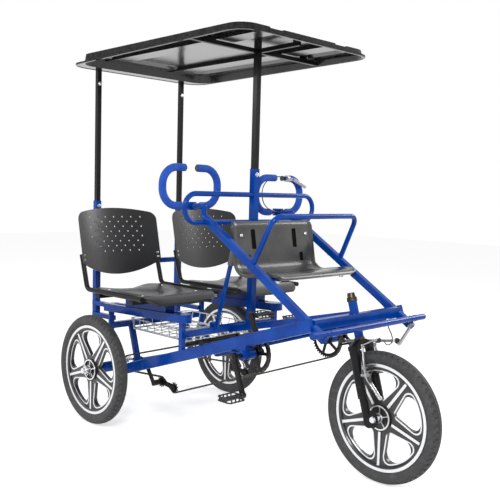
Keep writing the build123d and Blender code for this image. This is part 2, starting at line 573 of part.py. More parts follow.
bar_high = bar_middle_z["left"] + bar_tall / 2
lever_y = column_half + bar_gap["left"] / 2
lever = cylinder_y(bar_plane_x, bar_high, 16, lever_y + 27, lever_y + 45, bar_tube / 2 + fit_gap)
lever += Pos(bar_plane_x + 24, lever_y + 30, bar_high - 4) * Box(18, 40, 16)
lever += box_bar((bar_plane_x + 34, lever_y + 46, bar_high - 4), (bar_plane_x + 50, lever_y + 118, bar_high - 40),
                 (0, 0, 1), 14, 7, 2)
write("brake_lever", lever)


# ---- steering linkage ------------------------------------------------------------------------
pitman_length, steering_arm = 97.0, 90.0
rod_radius, rod_lift = 6.0, 16.0
arm_level, arm_thick = 296.0, 8.0             # steering arm, up the steering axis
foot = at_y(column_end + column_down * 7, column_half)
ball = foot - column_up_normal * pitman_length
pitman = round_bar(foot - column_down * 6, foot + column_down * 6, 32, 2 * shaft_radius + 0.02)
pitman_bar = box_bar(foot - column_up_normal * 12, ball, (0, 1, 0), 22, 8, 2)
pitman += pitman_bar - round_bar(foot - column_down * 9, foot + column_down * 9, 2 * shaft_radius)
pin_top = ball - column_down * (rod_lift + 5)
pitman += round_bar(ball - column_down * 4, ball + column_down * 4, 22)
pitman += round_bar(ball, pin_top, 8)
write("pitman_arm", pitman)

eye_middle = ball - column_down * rod_lift
rod_end = on_steering(arm_level + arm_thick / 2 + 6 + 5, -steering_arm)
rod = round_bar(eye_middle - column_down * 5.5, eye_middle + column_down * 5.5, 20)
rod += round_bar(eye_middle, rod_end, 2 * rod_radius)
rod += round_bar(rod_end - steering_up * 5, rod_end + steering_up * 5, 20)
rod -= round_bar(ball, pin_top - column_down * 10, 8 + 2 * fit_gap)
rod -= round_bar(rod_end - steering_up * 20, rod_end + steering_up * 20, 8.2)
write("tie_rod", rod)


# ---- fork ------------------------------------------------------------------------------------
crown_low, crown_flat, crown_high, crown_depth = 268.0, 14.0, 304.0, 42.0
leg_y, upper_leg, lower_leg, leg_step = 51.0, 37.0, 32.0, 83.0
dropout_tall, dropout_long, dropout_thick = 66.0, 62.0, 8.0
crown_wide = 2 * leg_y + upper_leg
crown_plane = Plane(origin=on_steering(crown_low), x_dir=steering_forward, z_dir=steering_up)
crown_outline = RectangleRounded(crown_depth, crown_wide, 18)
fork = extrude(crown_plane * crown_outline, amount=crown_flat)
fork += loft([crown_plane.offset(crown_flat) * crown_outline,
              crown_plane.offset(crown_high - crown_low) * RectangleRounded(crown_depth, 52, 18)])
fork += round_bar(on_steering(crown_high - 2), on_steering(head_high + 22), 2 * steerer_radius)
for sign in sides.values():
    y = sign * leg_y
    fork += round_bar(on_steering(leg_step, 0, y), on_steering(crown_low + 2, 0, y), upper_leg)
    fork += round_bar(on_steering(12, 2.4, y), on_steering(leg_step + 1, 2.4, y), lower_leg)
    plate = Plane(origin=on_steering(2, fork_offset / 2, y), x_dir=steering_forward, z_dir=(0, 1, 0))
    fork += extrude(plate * RectangleRounded(dropout_long, dropout_tall, 20), amount=dropout_thick / 2, both=True)
arm = box_bar(on_steering(arm_level, -16), on_steering(arm_level, -steering_arm), (0, 1, 0), 24, arm_thick, 2)
arm_eye = [on_steering(arm_level + shift, -steering_arm) for shift in (-arm_thick / 2, arm_thick / 2)]
fork += arm + round_bar(*arm_eye, 24)
axle_hole = cylinder_y(wheelbase, wheel_radius, front_axle_radius, -90, 90)
write("fork", fork - axle_hole)
plate_out, plate_in = leg_y + dropout_thick / 2, leg_y - dropout_thick / 2
axle = cylinder_y(wheelbase, wheel_radius, front_axle_radius - 0.01, -plate_out, plate_out)
for sign in sides.values():
    axle += cylinder_y(wheelbase, wheel_radius, 11, sign * (plate_out + 0.1), sign * (plate_out + 10))
    axle += cylinder_y(wheelbase, wheel_radius, front_axle_radius - 0.01, sign * leg_y, sign * (plate_out + 2))
    axle += cylinder_y(wheelbase, wheel_radius, 10, sign * (hub_half + 2), sign * (plate_in - 0.1))
write("front_axle", axle)
headset = []
for low, high, radius in ((crown_high + 0.1, head_low - 0.3, 21), (head_high + 0.3, head_high + 16, 20)):
    headset.append(round_bar(on_steering(low), on_steering(high), 2 * radius, 2 * steerer_radius + 0.04))
write("headset", *headset)

# rim brake: two arms on studs in front of the legs, with long pads beside the rim
stud_level, arm_top, brake_forward, pad_level = 170.0, 278.0, 34.0, rim_radius - 11
brakes = []
for sign in sides.values():
    brake = box_bar(on_steering(stud_level - 8, brake_forward, sign * 51), on_steering(arm_top, brake_forward, sign * 40),
                    (0, 1, 0), 12, 10, 2)
    brake += round_bar(on_steering(stud_level, 8, sign * 50), on_steering(stud_level, brake_forward + 8, sign * 50), 15)
    pad_plane = Plane(origin=on_steering(pad_level, fork_offset, sign * 23.6), x_dir=steering_forward,
                      z_dir=(0, sign, 0))
    brake += extrude(pad_plane * RectangleRounded(56, 11, 4), amount=8.5)
    brake += round_bar(on_steering(pad_level, brake_forward, sign * 30),
                       on_steering(pad_level, brake_forward, sign * 49), 8)
    brakes.append((brake - fork).solids().sort_by(SortBy.VOLUME)[-1])
write("front_brake", *brakes)


# ---- cranks and chains -----------------------------------------------------------------------
def pitch_radius(teeth):
    return chain_pitch / (2 * math.sin(math.pi / teeth))


arm_inner, arm_outer, arm_width, arm_half = 200.0, 350.0, 24.0, 7.0
spindle_radius, shell_radius, shell_half = 8.5, 20.0, 34.0
crank_turn = {"right": -68.0, "left": -34.0}  # outer arm above the horizontal, seen with X to the right
pedal_long, pedal_width, pedal_thick, pedal_shift, cage_wall = 74.0, 88.0, 22.0, 11.0, 8.0


def cage_pedal():
    """Moulded pedal: a frame round a middle beam, open on both sides of it."""
    body = RectangleRounded(pedal_long, pedal_width, 12)
    window = (pedal_long - pedal_thick) / 2 - cage_wall
    for way in (-1, 1):
        body -= Pos(way * (pedal_thick + window) / 2, 0) * RectangleRounded(window, pedal_width - 24, 5)
    return extrude(body, amount=pedal_thick / 2, both=True)


shells = []
for side, sign in sides.items():
    turn = math.radians(crank_turn[side])
    reach = {arm_outer: (math.cos(turn), math.sin(turn)), arm_inner: (-math.cos(turn), -math.sin(turn))}
    cranks = cylinder_y(crank_x, crank_z, spindle_radius, sign * (arm_inner - arm_half), sign * (arm_outer + arm_half))
    cranks += cylinder_y(crank_x, crank_z, 18, sign * (arm_inner + arm_half), sign * (chain_half - 1))
    ring = toothed_disc(ring_teeth, 2.0, 64)
    spider = Sketch() + Circle(22)
    for index in range(5):
        spider += Rot(0, 0, index * 72) * Pos(44, 0) * Rectangle(46, 13)
    spider = extrude(spider, amount=2, both=True)
    cranks += Pos(crank_x, sign * chain_half, crank_z) * Rot(90, 0, 0) * ring
    cranks += Pos(crank_x, sign * (chain_half - 2), crank_z) * Rot(0, -crank_turn[side], 0) * Rot(90, 0, 0) * spider
    pedals = []
    for station, (forward, up) in reach.items():
        end = (crank_x + crank_length * forward, sign * station, crank_z + crank_length * up)
        bar = box_bar((crank_x, sign * station, crank_z), end, (0, 1, 0), 2 * arm_half, arm_width, 4)
        bar += cylinder_y(crank_x, crank_z, 17, sign * (station - arm_half), sign * (station + arm_half))
        bar += cylinder_y(end[0], end[2], 13, sign * (station - arm_half), sign * (station + arm_half))
        cranks += bar
        away = 1 if station == arm_outer else -1
        start = station + away * (arm_half + 0.1)
        pedal = cylinder_y(end[0], end[2], 7, sign * start, sign * (start + away * pedal_shift))
        pedal += Pos(end[0], sign * (start + away * (pedal_shift + pedal_width / 2 - 1)), end[2]) * cage_pedal()
        pedals.append(pedal)
    write(f"{side}_crankset", cranks)
    write(f"{side}_pedals", *pedals)
    shell = cylinder_y(crank_x, crank_z, shell_radius, sign * (crank_half - shell_half), sign * (crank_half + shell_half))
    shell += Pos(crank_x, sign * frame_half, crank_z + 30) * Box(34, rail_width, 50)
    shell += box_bar((crank_x, sign * frame_half, crank_z), at_y(on_rail(cradle_front_x - 20, cradle_lift), sign * frame_half),
                     (0, 1, 0), rail_width - 4, 18, 2)
    shell -= rails[side] + side_frames[side]
    shell -= cylinder_y(crank_x, crank_z, spindle_radius + fit_gap, sign * 200, sign * 350)
    shells.append(shell.solids().sort_by(SortBy.VOLUME)[-1])
write("bottom_brackets", *shells)

pulleys = {"guide": (260.0, 215.0), "tension": (355.0, 205.0)}
circles = [(0.0, wheel_radius, pitch_radius(sprocket_teeth), 1), (crank_x, crank_z, pitch_radius(ring_teeth), 1),
           (*pulleys["tension"], pitch_radius(pulley_teeth), 1), (*pulleys["guide"], pitch_radius(pulley_teeth), -1)]


def belt_outline(shift):
    """Face inside the chain's course round all its wheels, grown by shift."""
    legs = []
    for first, second in zip(circles, circles[1:] + circles[:1]):
        radii = [wrap * radius + shift for _, _, radius, wrap in (first, second)]
        dx, dz = second[0] - first[0], second[1] - first[1]
        heading = math.atan2(dz, dx) - math.asin((radii[0] - radii[1]) / math.hypot(dx, dz))
        normal = (-math.sin(heading), math.cos(heading))
        legs.append([(c[0] + r * normal[0], c[1] + r * normal[1]) for c, r in zip((first, second), radii)])
    edges = Curve()
    for index, circle in enumerate(circles):
        arrive, leave = legs[index - 1][1], legs[index][0]
        radius = abs(circle[3] * circle[2] + shift)
        middle = Vector(arrive[0] + leave[0] - 2 * circle[0], arrive[1] + leave[1] - 2 * circle[1]).normalized()
        turned = Vector(leave[0] - circle[0], leave[1] - circle[1]).cross(Vector(arrive[0] - circle[0], arrive[1] - circle[1])).Z
        if turned * circle[3] < 0:
            middle = -middle
        edges += ThreePointArc(arrive, (circle[0] + middle.X * radius, circle[1] + middle.Y * radius), leave)
        edges += Line(*legs[index])
    return make_face(edges)


link_height, plate_gap, plate_thick = 8.0, 3.2, 1.2
band = belt_outline(link_height / 2) - belt_outline(-link_height / 2)
for side, sign in sides.items():
    plates = []
    for wing in (-1, 1):
        inner_y = sign * chain_half + wing * plate_gap / 2
        plate = extrude(band, amount=plate_thick)
        shift = inner_y if wing < 0 else inner_y + plate_thick
        plates.append(Pos(0, shift, 0) * Rot(90, 0, 0) * plate)
    write(f"{side}_chain", *plates)

# sprung tensioner: a plate on the rail, an arm, and a cage holding the two pulleys
cage_half, cage_thick, pulley_hole = 6.5, 2.0, 3.0
guide, tension = Vector(pulleys["guide"][0], 0, pulleys["guide"][1]), Vector(pulleys["tension"][0], 0,
                                                                             pulleys["tension"][1])
hanger_at = on_rail(205, -4)
tensioners, guards = [], []
for side, sign in sides.items():
    middle_y, plate_y = sign * chain_half, sign * (frame_half - rail_width / 2 - 3)
    solids = []
    for wing in (-1, 1):
        plate_at = middle_y + wing * cage_half
        cage_plate = box_bar(at_y(guide, plate_at), at_y(tension, plate_at), (0, 1, 0), cage_thick, 17, 0.9)
        for pulley in (guide, tension):
            cage_plate += cylinder_y(pulley.X, pulley.Z, 11, plate_at - cage_thick / 2, plate_at + cage_thick / 2)
        solids.append(cage_plate)
    tensioner = solids[0] + solids[1]
    for pulley in (guide, tension):
        tensioner += cylinder_y(pulley.X, pulley.Z, 3.5, middle_y - cage_half, middle_y + cage_half)
        wheel = toothed_disc(pulley_teeth, 2.2, 0.0)
        tensioner += Pos(pulley.X, middle_y, pulley.Z) * Rot(90, 0, 0) * wheel
    tensioner += box_bar(at_y(hanger_at, plate_y), at_y(guide, plate_y), (0, 1, 0), 6, 24, 2)
    tensioner += cylinder_y(hanger_at.X, hanger_at.Z, 14, plate_y - 3, plate_y + 3)
    tensioner += cylinder_y(guide.X, guide.Z, 13, sign * (chain_half + cage_half), sign * (abs(plate_y) + 3))
    tensioners.append(tensioner)
write("chain_tensioners", *tensioners)

# tube that shields each upper chain run, clipped to the rail
guard_from, guard_to, guard_outer, guard_inner = 425.0, 770.0, 22.0, 15.0
upper_low, upper_high = pitch_radius(sprocket_teeth), pitch_radius(ring_teeth)
dx, dz = crank_x, crank_z - wheel_radius
heading = math.atan2(dz, dx) - math.asin((upper_low - upper_high) / math.hypot(dx, dz))
run_start = Vector(-upper_low * math.sin(heading), 0, wheel_radius + upper_low * math.cos(heading))
run_along = Vector(math.cos(heading), 0, math.sin(heading))
for side, sign in sides.items():
    ends = [at_y(run_start + run_along * (x / run_along.X), sign * chain_half) for x in (guard_from, guard_to)]
    guard = round_bar(*ends, guard_outer, guard_inner)
    clip_at = (ends[0] + ends[1]) / 2
    clip = Pos(clip_at.X, sign * (chain_half + inner_face) / 2, clip_at.Z - 2) * Box(24, inner_face - chain_half, 10)
    clip += Pos(clip_at.X, sign * (inner_face - 2), clip_at.Z - 20) * Box(24, 4, 44)
    clip -= round_bar(*ends, guard_outer - 2)
    guards.append((guard + clip) - rails[side])
write("chain_guards", *guards)


# ---- basket and parking lever ----------------------------------------------------------------
basket_half, basket_low, basket_high, wire = 195.0, 418.0, 468.0, 5.0
basket_rear, basket_front = upright_rear_x + 11 + wire / 2 + 0.3, upright_front_x - 15 - wire / 2 - 0.3
basket_mid = (basket_rear + basket_front) / 2
ring_outline = RectangleRounded(basket_front - basket_rear + wire, 2 * basket_half + wire, 30)
ring_outline -= RectangleRounded(basket_front - basket_rear - wire, 2 * basket_half - wire, 25)
low_outline = RectangleRounded(basket_front - basket_rear - 20 + wire, 2 * basket_half - 20 + wire, 28)
low_outline -= RectangleRounded(basket_front - basket_rear - 20 - wire, 2 * basket_half - 20 - wire, 23)
basket = Pos(basket_mid, 0, basket_high - wire / 2) * extrude(ring_outline, amount=wire)
basket += Pos(basket_mid, 0, basket_low - wire / 2) * extrude(low_outline, amount=wire)
along_steps, across_steps = 9, 7
for index in range(along_steps):
    x = basket_rear + (index + 0.5) * (basket_front - basket_rear) / along_steps
    basket += Pos(x, 0, basket_low) * Box(3, 2 * basket_half - 20, 3)
    for wing in (-1, 1):
        basket += box_bar((x, wing * (basket_half - 10), basket_low), (x, wing * basket_half, basket_high), (1, 0, 0), 3, 3, 0)
for index in range(across_steps):
    y = -basket_half + (index + 0.5) * 2 * basket_half / across_steps
    basket += Pos(basket_mid, y, basket_low) * Box(basket_front - basket_rear - 20, 3, 3)
    for x, low_x in ((basket_rear, basket_rear + 10), (basket_front, basket_front - 10)):
        basket += box_bar((low_x, y, basket_low), (x, y, basket_high), (0, 1, 0), 3, 3, 0)
write("basket", basket)

lever_y = -100.0
lever_low, lever_high = Vector(484, lever_y, 480), Vector(572, lever_y, 780)
lever_along = (lever_high - lever_low).normalized()
parking = box_bar(lever_low, lever_high + lever_along * 66, (0, 1, 0), 8, 22, 2) - front_bar
parking = parking.solids().sort_by(SortBy.VOLUME)[-1]
parking += (Pos(upright_front_x, lever_y, 494) * Box(34, 30, 34)) - front_bar
write("parking_lever", parking.solids().sort_by(SortBy.VOLUME)[-1])
grip = round_bar(lever_high, lever_high + lever_along * 78, 30)
write("parking_lever_grip", grip - box_bar(lever_low, lever_high + lever_along * 66.3, (0, 1, 0), 8.6, 22.6, 2))
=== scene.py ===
"""Looks of the family tricycle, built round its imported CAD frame. Metres; X forward, Y left, Z up."""

import json
import math

import bmesh
import bpy
from mathutils import Matrix, Vector

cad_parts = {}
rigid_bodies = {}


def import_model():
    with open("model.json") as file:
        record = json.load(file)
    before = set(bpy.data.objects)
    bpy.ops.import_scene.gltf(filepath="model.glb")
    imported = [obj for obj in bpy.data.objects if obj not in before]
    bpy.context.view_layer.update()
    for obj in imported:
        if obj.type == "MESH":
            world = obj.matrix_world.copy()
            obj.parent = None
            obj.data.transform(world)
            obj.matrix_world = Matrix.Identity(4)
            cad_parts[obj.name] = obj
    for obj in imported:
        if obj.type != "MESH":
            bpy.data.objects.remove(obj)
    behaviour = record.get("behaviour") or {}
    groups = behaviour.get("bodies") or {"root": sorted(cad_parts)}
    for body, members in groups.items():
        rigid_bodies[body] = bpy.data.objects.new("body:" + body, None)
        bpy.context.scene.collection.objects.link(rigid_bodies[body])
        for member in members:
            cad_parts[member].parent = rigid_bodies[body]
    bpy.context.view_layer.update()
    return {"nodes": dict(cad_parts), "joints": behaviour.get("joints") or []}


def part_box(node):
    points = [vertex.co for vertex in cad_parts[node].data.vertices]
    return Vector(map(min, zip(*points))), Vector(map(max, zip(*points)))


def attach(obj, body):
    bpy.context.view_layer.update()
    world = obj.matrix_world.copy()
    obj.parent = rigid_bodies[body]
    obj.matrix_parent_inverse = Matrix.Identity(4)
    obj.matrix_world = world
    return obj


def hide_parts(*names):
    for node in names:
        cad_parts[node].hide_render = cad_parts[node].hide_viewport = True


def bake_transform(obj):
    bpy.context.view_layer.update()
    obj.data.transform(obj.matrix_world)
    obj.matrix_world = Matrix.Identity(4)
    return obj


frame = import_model()
nodes = frame["nodes"]
pivots = {joint["name"]: Vector(joint["pos_m"]) for joint in frame["joints"]}
axes = {joint["name"]: Vector(joint["axis"]).normalized() for joint in frame["joints"]}
sides = {"right": -1, "left": 1}


# The frame is mild steel tube, welded at coped joints and powder coated in one gloss blue.
# The film is thick, so it levels with a faint orange-peel ripple and gathers fine dust low down.
class Value:
    """A shader socket that takes part in sums: each operator adds its own Math node."""

    def __init__(self, graph, socket):
        self.graph, self.socket = graph, socket

    def math(self, operation, *others):
        return self.graph.node("ShaderNodeMath", {"operation": operation}, self, *others)

    def __add__(self, other):
        return self.math("ADD", other)

    def __sub__(self, other):
        return self.math("SUBTRACT", other)

    def __mul__(self, other):
        return self.math("MULTIPLY", other)

    def __rsub__(self, other):
        return self.graph.node("ShaderNodeMath", {"operation": "SUBTRACT"}, other, self)

    def __abs__(self):
        return self.math("ABSOLUTE")

    __radd__, __rmul__ = __add__, __mul__


class Graph:
    """A node tree that grows as expressions are written."""

    def __init__(self, tree):
        self.tree = tree

    def fill(self, socket, value):
        """Link a value to a socket, or set a plain number or colour on it."""
        if isinstance(value, Value):
            self.tree.links.new(value.socket, socket)
        else:
            socket.default_value = value

    def node(self, kind, settings, *values, output=0, **named):
        """Add a node: settings are its properties, values feed its sockets in order or by name."""
        node = self.tree.nodes.new(kind)
        for key, value in settings.items():
            setattr(node, key, value)
        for key, value in [*enumerate(values), *named.items()]:
            self.fill(node.inputs[key.replace("_", " ") if isinstance(key, str) else key], value)
        return Value(self, node.outputs[output])


class Finish(Graph):
    """One material: its node graph, the object coordinates, and its Principled shader."""

    def __init__(self, name, **constants):
        self.material = bpy.data.materials.new(name)
        self.material.use_nodes = True
        super().__init__(self.material.node_tree)
        self.shader = self.tree.nodes["Principled BSDF"]
        for socket, value in constants.items():
            self.fill(self.shader.inputs[socket.replace("_", " ")], value)
        self.place = self.node("ShaderNodeTexCoord", {}, output="Object")

    def axis(self, letter, place=None):
        return self.node("ShaderNodeSeparateXYZ", {}, place or self.place, output=letter)

    def noise(self, scale, detail=3, roughness=0.55, place=None):
        return self.node("ShaderNodeTexNoise", {}, Vector=place or self.place, Scale=scale, Detail=detail,
                         Roughness=roughness)

    def cells(self, scale):
        return self.node("ShaderNodeTexVoronoi", {}, Vector=self.place, Scale=scale)

    def about(self, centre=(0, 0, 0), stretch=(1, 1, 1)):
        """Coordinates counted from a centre, and stretched."""
        moved = self.node("ShaderNodeVectorMath", {"operation": "SUBTRACT"}, self.place, tuple(centre))
        return self.node("ShaderNodeMapping", {}, moved, Scale=stretch)

    def mix(self, factor, first, second):
        node = self.tree.nodes.new("ShaderNodeMix")
        node.data_type = "RGBA"
        for index, value in ((0, factor), (6, first), (7, second)):
            self.fill(node.inputs[index], value)
        return Value(self, node.outputs[2])

    def smooth(self, value, low, high):
        """0 below low, 1 above high, and a soft step between."""
        return self.node("ShaderNodeMapRange", {"interpolation_type": "SMOOTHSTEP"}, value, low, high, 0, 1)

    def band(self, value, low, high, edge):
        """1 between low and high, with soft edges."""
        return self.smooth(value, low - edge, low + edge) * (1 - self.smooth(value, high - edge, high + edge))

    def bump(self, height, distance, strength):
        raised = self.node("ShaderNodeBump", {}, Strength=strength, Distance=distance, Height=height)
        self.feed("Normal", raised)

    def feed(self, socket, value):
        self.fill(self.shader.inputs[socket], value)


def coat(finish, *names):
    """Give CAD nodes or new pieces this finish."""
    for name in names:
        piece = nodes.get(name) or bpy.data.objects[name]
        piece.data.materials.clear()
        piece.data.materials.append(finish.material)


def colour(red, green, blue):
    """Linear colour from the usual 0 to 255 numbers."""
    channels = [channel / 255 for channel in (red, green, blue)]
    return (*[c / 12.92 if c <= 0.04045 else ((c + 0.055) / 1.055) ** 2.4 for c in channels], 1)


def powder_coat(name, base, deep, dust, gloss):
    finish = Finish(name, Specular_IOR_Level=0.14, Coat_Weight=0.08, Coat_Roughness=0.06)
    patches = finish.smooth(finish.noise(9, 4), 0.35, 0.7)
    low_down = 1 - finish.smooth(finish.axis("Z"), 0.2, 0.7)
    grime = finish.smooth(finish.noise(34, 5), 0.52, 0.75) * low_down
    scuffs = finish.smooth(finish.noise(150, 2, 0.4, finish.about(stretch=(1, 1, 6))), 0.7, 0.78)
    tone = finish.mix(patches, base, deep)
    finish.feed("Base Color", finish.mix(grime * 0.22 + scuffs * 0.1, tone, dust))
    finish.feed("Roughness", patches * 0.06 + grime * 0.25 + scuffs * 0.1 + gloss)
    finish.bump(finish.noise(420, 2), 0.00006, 0.3)
    return finish


def speckled(name, tone, first, second, gloss, ripple, soft=None, grain=None, **constants):
    """Finish that wanders between two colours along a noise.

    tone and grain are (scale, detail) of a noise, gloss is (roughness, spread) and ripple is (depth,
    strength) of the bump, which follows the grain where there is one. soft sharpens the colours' border.
    """
    finish = Finish(name, **constants)
    mottle = finish.noise(*tone)
    if soft:
        mottle = finish.smooth(mottle, *soft)
    finish.feed("Base Color", finish.mix(mottle, colour(*first), colour(*second)))
    finish.feed("Roughness", mottle * gloss[1] + gloss[0])
    finish.bump(finish.noise(*grain) if grain else mottle, *ripple)
    return finish


frame_paint = powder_coat("frame_paint", colour(0, 68, 160), colour(0, 54, 140), colour(90, 115, 145), 0.16)
coat(frame_paint, "right_side_rail", "left_side_rail", "right_side_frame", "left_side_frame", "axle_housings",
     "rear_axle_beam", "seat_crossbar", "backbone", "head_tube", "front_crossmember", "footrest_bar",
     "right_column_tube", "left_column_tube", "child_handrail", "hoop_rail", "centre_post", "rear_post_frame",
     "child_bench_support", "bottom_brackets", "parking_lever", "right_handlebar", "left_handlebar")


def placed(place, along):
    """Matrix that sets a shape made on the Z axis at a place, pointing along a direction."""
    return Matrix.Translation(place) @ Vector(along).to_track_quat("Z", "Y").to_matrix().to_4x4()


def mesh_data(name, mesh):
    data = bpy.data.meshes.new(name)
    mesh.to_mesh(data)
    mesh.free()
    return data


def linked(name, data):
    """New object in the scene."""
    thing = bpy.data.objects.new(name, data)
    bpy.context.collection.objects.link(thing)
    return thing


def new_piece(name, mesh, body, finish, sharp=35):
    """Turn a finished bmesh into a piece that rides on a body, or on none."""
    bmesh.ops.remove_doubles(mesh, verts=mesh.verts, dist=2e-6)
    bmesh.ops.recalc_face_normals(mesh, faces=mesh.faces)
    data = mesh_data(name, mesh)
    data.shade_smooth()
    data.set_sharp_from_angle(angle=math.radians(sharp))
    piece = linked(name, data)
    if body:
        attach(piece, body)
    coat(finish, name)
    return piece


def turned(mesh, outline, place, along, steps=24):
    """Turn an open outline of (height, radius) pairs about an axis: its ends lie on the axis."""
    around = placed(place, along)
    points = [mesh.verts.new(around @ Vector((radius, 0, height))) for height, radius in outline]
    edges = [mesh.edges.new(pair) for pair in zip(points, points[1:])]
    bmesh.ops.spin(mesh, geom=points + edges, cent=place, axis=Vector(along), angle=2 * math.pi, steps=steps,
                   use_merge=True)


# Where a tube is coped onto another, the weld leaves one small ripple of metal round the joint.
# The beads are painted over with the frame.
def weld_ring(mesh, place, along, radius, bead=0.0016):
    turns = [math.radians(angle) for angle in range(0, 360, 60)]
    outline = [(bead * math.cos(turn), radius + bead * math.sin(turn)) for turn in turns]
    turned(mesh, [*outline, outline[0]], place, along, 28)


beads = bmesh.new()
rail_low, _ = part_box("child_handrail")
bar_low, bar_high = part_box("footrest_bar")
bar_middle = (bar_low + bar_high) / 2
hoop_low, hoop_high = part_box("hoop_rail")
hoop_x, hoop_tube, hoop_reach = (hoop_low.x + hoop_high.x) / 2, 0.011, 0.0155
housing_low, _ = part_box("axle_housings")
housing_radius = 0.025
for sign in sides.values():
    rail_foot = (rail_low.x + 0.012, sign * 0.2738, rail_low.z + 0.018)
    weld_ring(beads, rail_foot, (0.45, -sign * 0.06, 0.89), 0.0112)
    for y in (0.2595, 0.2905):
        weld_ring(beads, (bar_middle.x, sign * y, bar_middle.z), (0, 1, 0), 0.0126)
    for height in (hoop_low.z + hoop_tube, hoop_high.z - hoop_tube):
        weld_ring(beads, (hoop_x, sign * hoop_reach, height), (0, 1, 0), hoop_tube + 0.0002)
    for y in (0.276, 0.304):
        housing_at = (housing_low.x + housing_radius, sign * y, housing_low.z + housing_radius)
        weld_ring(beads, housing_at, (0, 1, 0), housing_radius + 0.0001)
new_piece("frame_weld_beads", beads, "frame", frame_paint)

# The foot rest bar is an open tube, so a black moulded plug is pressed into each end. It has a
# fine-grained skin that is a little glossy.
moulded_black = speckled("moulded_black", (900, 2), (26, 26, 27), (38, 38, 39), (0.4, 0.15), (0.00006, 0.6),
                         Coat_Weight=0.05)
plugs = bmesh.new()
for sign, end in ((-1, bar_low.y), (1, bar_high.y)):
    turned(plugs, [(-0.001, 0), (-0.001, 0.0118), (-0.0002, 0.0118), (-0.0002, 0)],
           (bar_middle.x, end, bar_middle.z), (0, sign, 0))
new_piece("foot_rest_plugs", plugs, "frame", moulded_black)

# The running gear is steel tube and bar under a satin black coat: fork, cranks, roof posts and bars.
# Handled and trodden parts shine a little along their edges, where the coat has worn smooth.
black_paint = powder_coat("black_paint", colour(24, 24, 26), colour(16, 16, 18), colour(90, 88, 84), 0.3)
coat(black_paint, "roof_posts", "roof_bars", "fork", "chain_tensioners", "right_crankset", "left_crankset",
     "chain_guards", "seat_arms")


# Each wheel is a one-piece alloy casting, lacquered black, then skimmed in a lathe so that the
# spoke ribs, rim sides, hub ring and the edges of the five openings come up bright.
wheel_centres = {name: pivots[f"{name}_wheel_spin"] for name in ("front", "right_rear", "left_rear")}
rim_radius = (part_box("front_wheel")[1].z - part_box("front_wheel")[0].z) / 2


def machined_casting(name, centre):
    """Black lacquer with bright machined faces, marked out from the wheel's own centre."""
    finish = Finish(name, Coat_Weight=0.3, Coat_Roughness=0.15)
    local = finish.about(centre)
    across, depth, up = finish.axis("X", local), abs(finish.axis("Y", local)), finish.axis("Z", local)
    radius = (across * across + up * up).math("SQRT")
    fifth = math.pi / 5
    turn = (across.math("ARCTAN2", up) + 2 * math.pi).math("PINGPONG", fifth)
    along, beside = radius * turn.math("COSINE"), radius * turn.math("SINE")
    rib = radius * (fifth - turn).math("SINE")
    reach, tip, corner = rim_radius - 0.03, 0.06, 0.034
    edge = fifth - math.asin(0.019 / reach)
    run = Vector((reach * math.cos(edge) - tip, reach * math.sin(edge))).normalized()
    side_gap = (beside * run.x - (along - tip) * run.y + corner).math("MAXIMUM", 0)
    end_gap = (radius - reach + corner).math("MAXIMUM", 0)
    rounded = (side_gap * side_gap + end_gap * end_gap).math("SQRT") - corner

    def belt(value, low, high):
        return finish.band(value, low, high, 0.0004)

    rib_tops = belt(rib, -0.01, 0.008) * belt(radius, 0.056, 0.1868) * finish.smooth(depth, 0.011, 0.0116)
    rim_sides = belt(radius, rim_radius - 0.0125, rim_radius - 0.0008) * finish.smooth(depth, 0.0165, 0.0172)
    opening_edges = belt(rounded, -0.0006, 0.0046) * belt(depth, 0.0075, 0.01)
    hub_ring = belt(radius, 0.0425, 0.0484) * finish.smooth(depth, 0.019, 0.0196)
    bore_ring = belt(radius, 0.0125, 0.0205) * finish.smooth(depth, 0.0225, 0.0232)
    hub_webs = (1 - finish.smooth(beside, 0.0018, 0.0024)) * belt(radius, 0.019, 0.0435)
    bright = rib_tops
    for skimmed in (rim_sides, opening_edges * finish.smooth(radius, 0.064, 0.072), hub_ring, bore_ring,
                    hub_webs * finish.smooth(depth, 0.016, 0.0166)):
        bright = bright.math("MAXIMUM", skimmed)
    grit = finish.noise(260, 3)
    stain = finish.smooth(finish.noise(30, 4), 0.4, 0.75)
    black = finish.mix(stain, colour(30, 30, 31), colour(42, 41, 40))
    metal = finish.mix(grit, colour(214, 215, 217), colour(240, 240, 242))
    finish.feed("Base Color", finish.mix(bright, black, metal))
    finish.feed("Metallic", bright * 0.75)
    finish.feed("Roughness", 0.38 - bright * 0.08 + grit * 0.06)
    rings = (radius * 5200).math("SINE") * bright
    finish.bump(rings * 0.5 + grit * 0.4, 0.00008, 0.6)
    return finish


for name, centre in wheel_centres.items():
    coat(machined_casting(f"{name}_casting", centre), f"{name}_wheel")

# Tyres are black moulded rubber: a rounded tread with two grooves, siped shoulders and a plain
# sidewall with fine raised rings. Each lies on its rim by its own beads.
rubber = Finish("tyre_rubber", Specular_IOR_Level=0.35)
dust = rubber.smooth(rubber.noise(45, 5), 0.4, 0.8)
rubber.feed("Base Color", rubber.mix(dust, colour(62, 62, 63), colour(84, 84, 84)))
rubber.feed("Roughness", dust * 0.15 + 0.62)
rubber.bump(rubber.noise(1400, 2) + dust * 0.5, 0.0001, 0.7)
tread_rubber = speckled("tread_rubber", (60, 5), (52, 52, 53), (78, 77, 75), (0.7, 0.12), (0.00015, 0.8),
                        (0.35, 0.75), (900, 3), Specular_IOR_Level=0.3)

tyre_steps, shoulder, sipe_edge = 180, 0.2415, 0.012
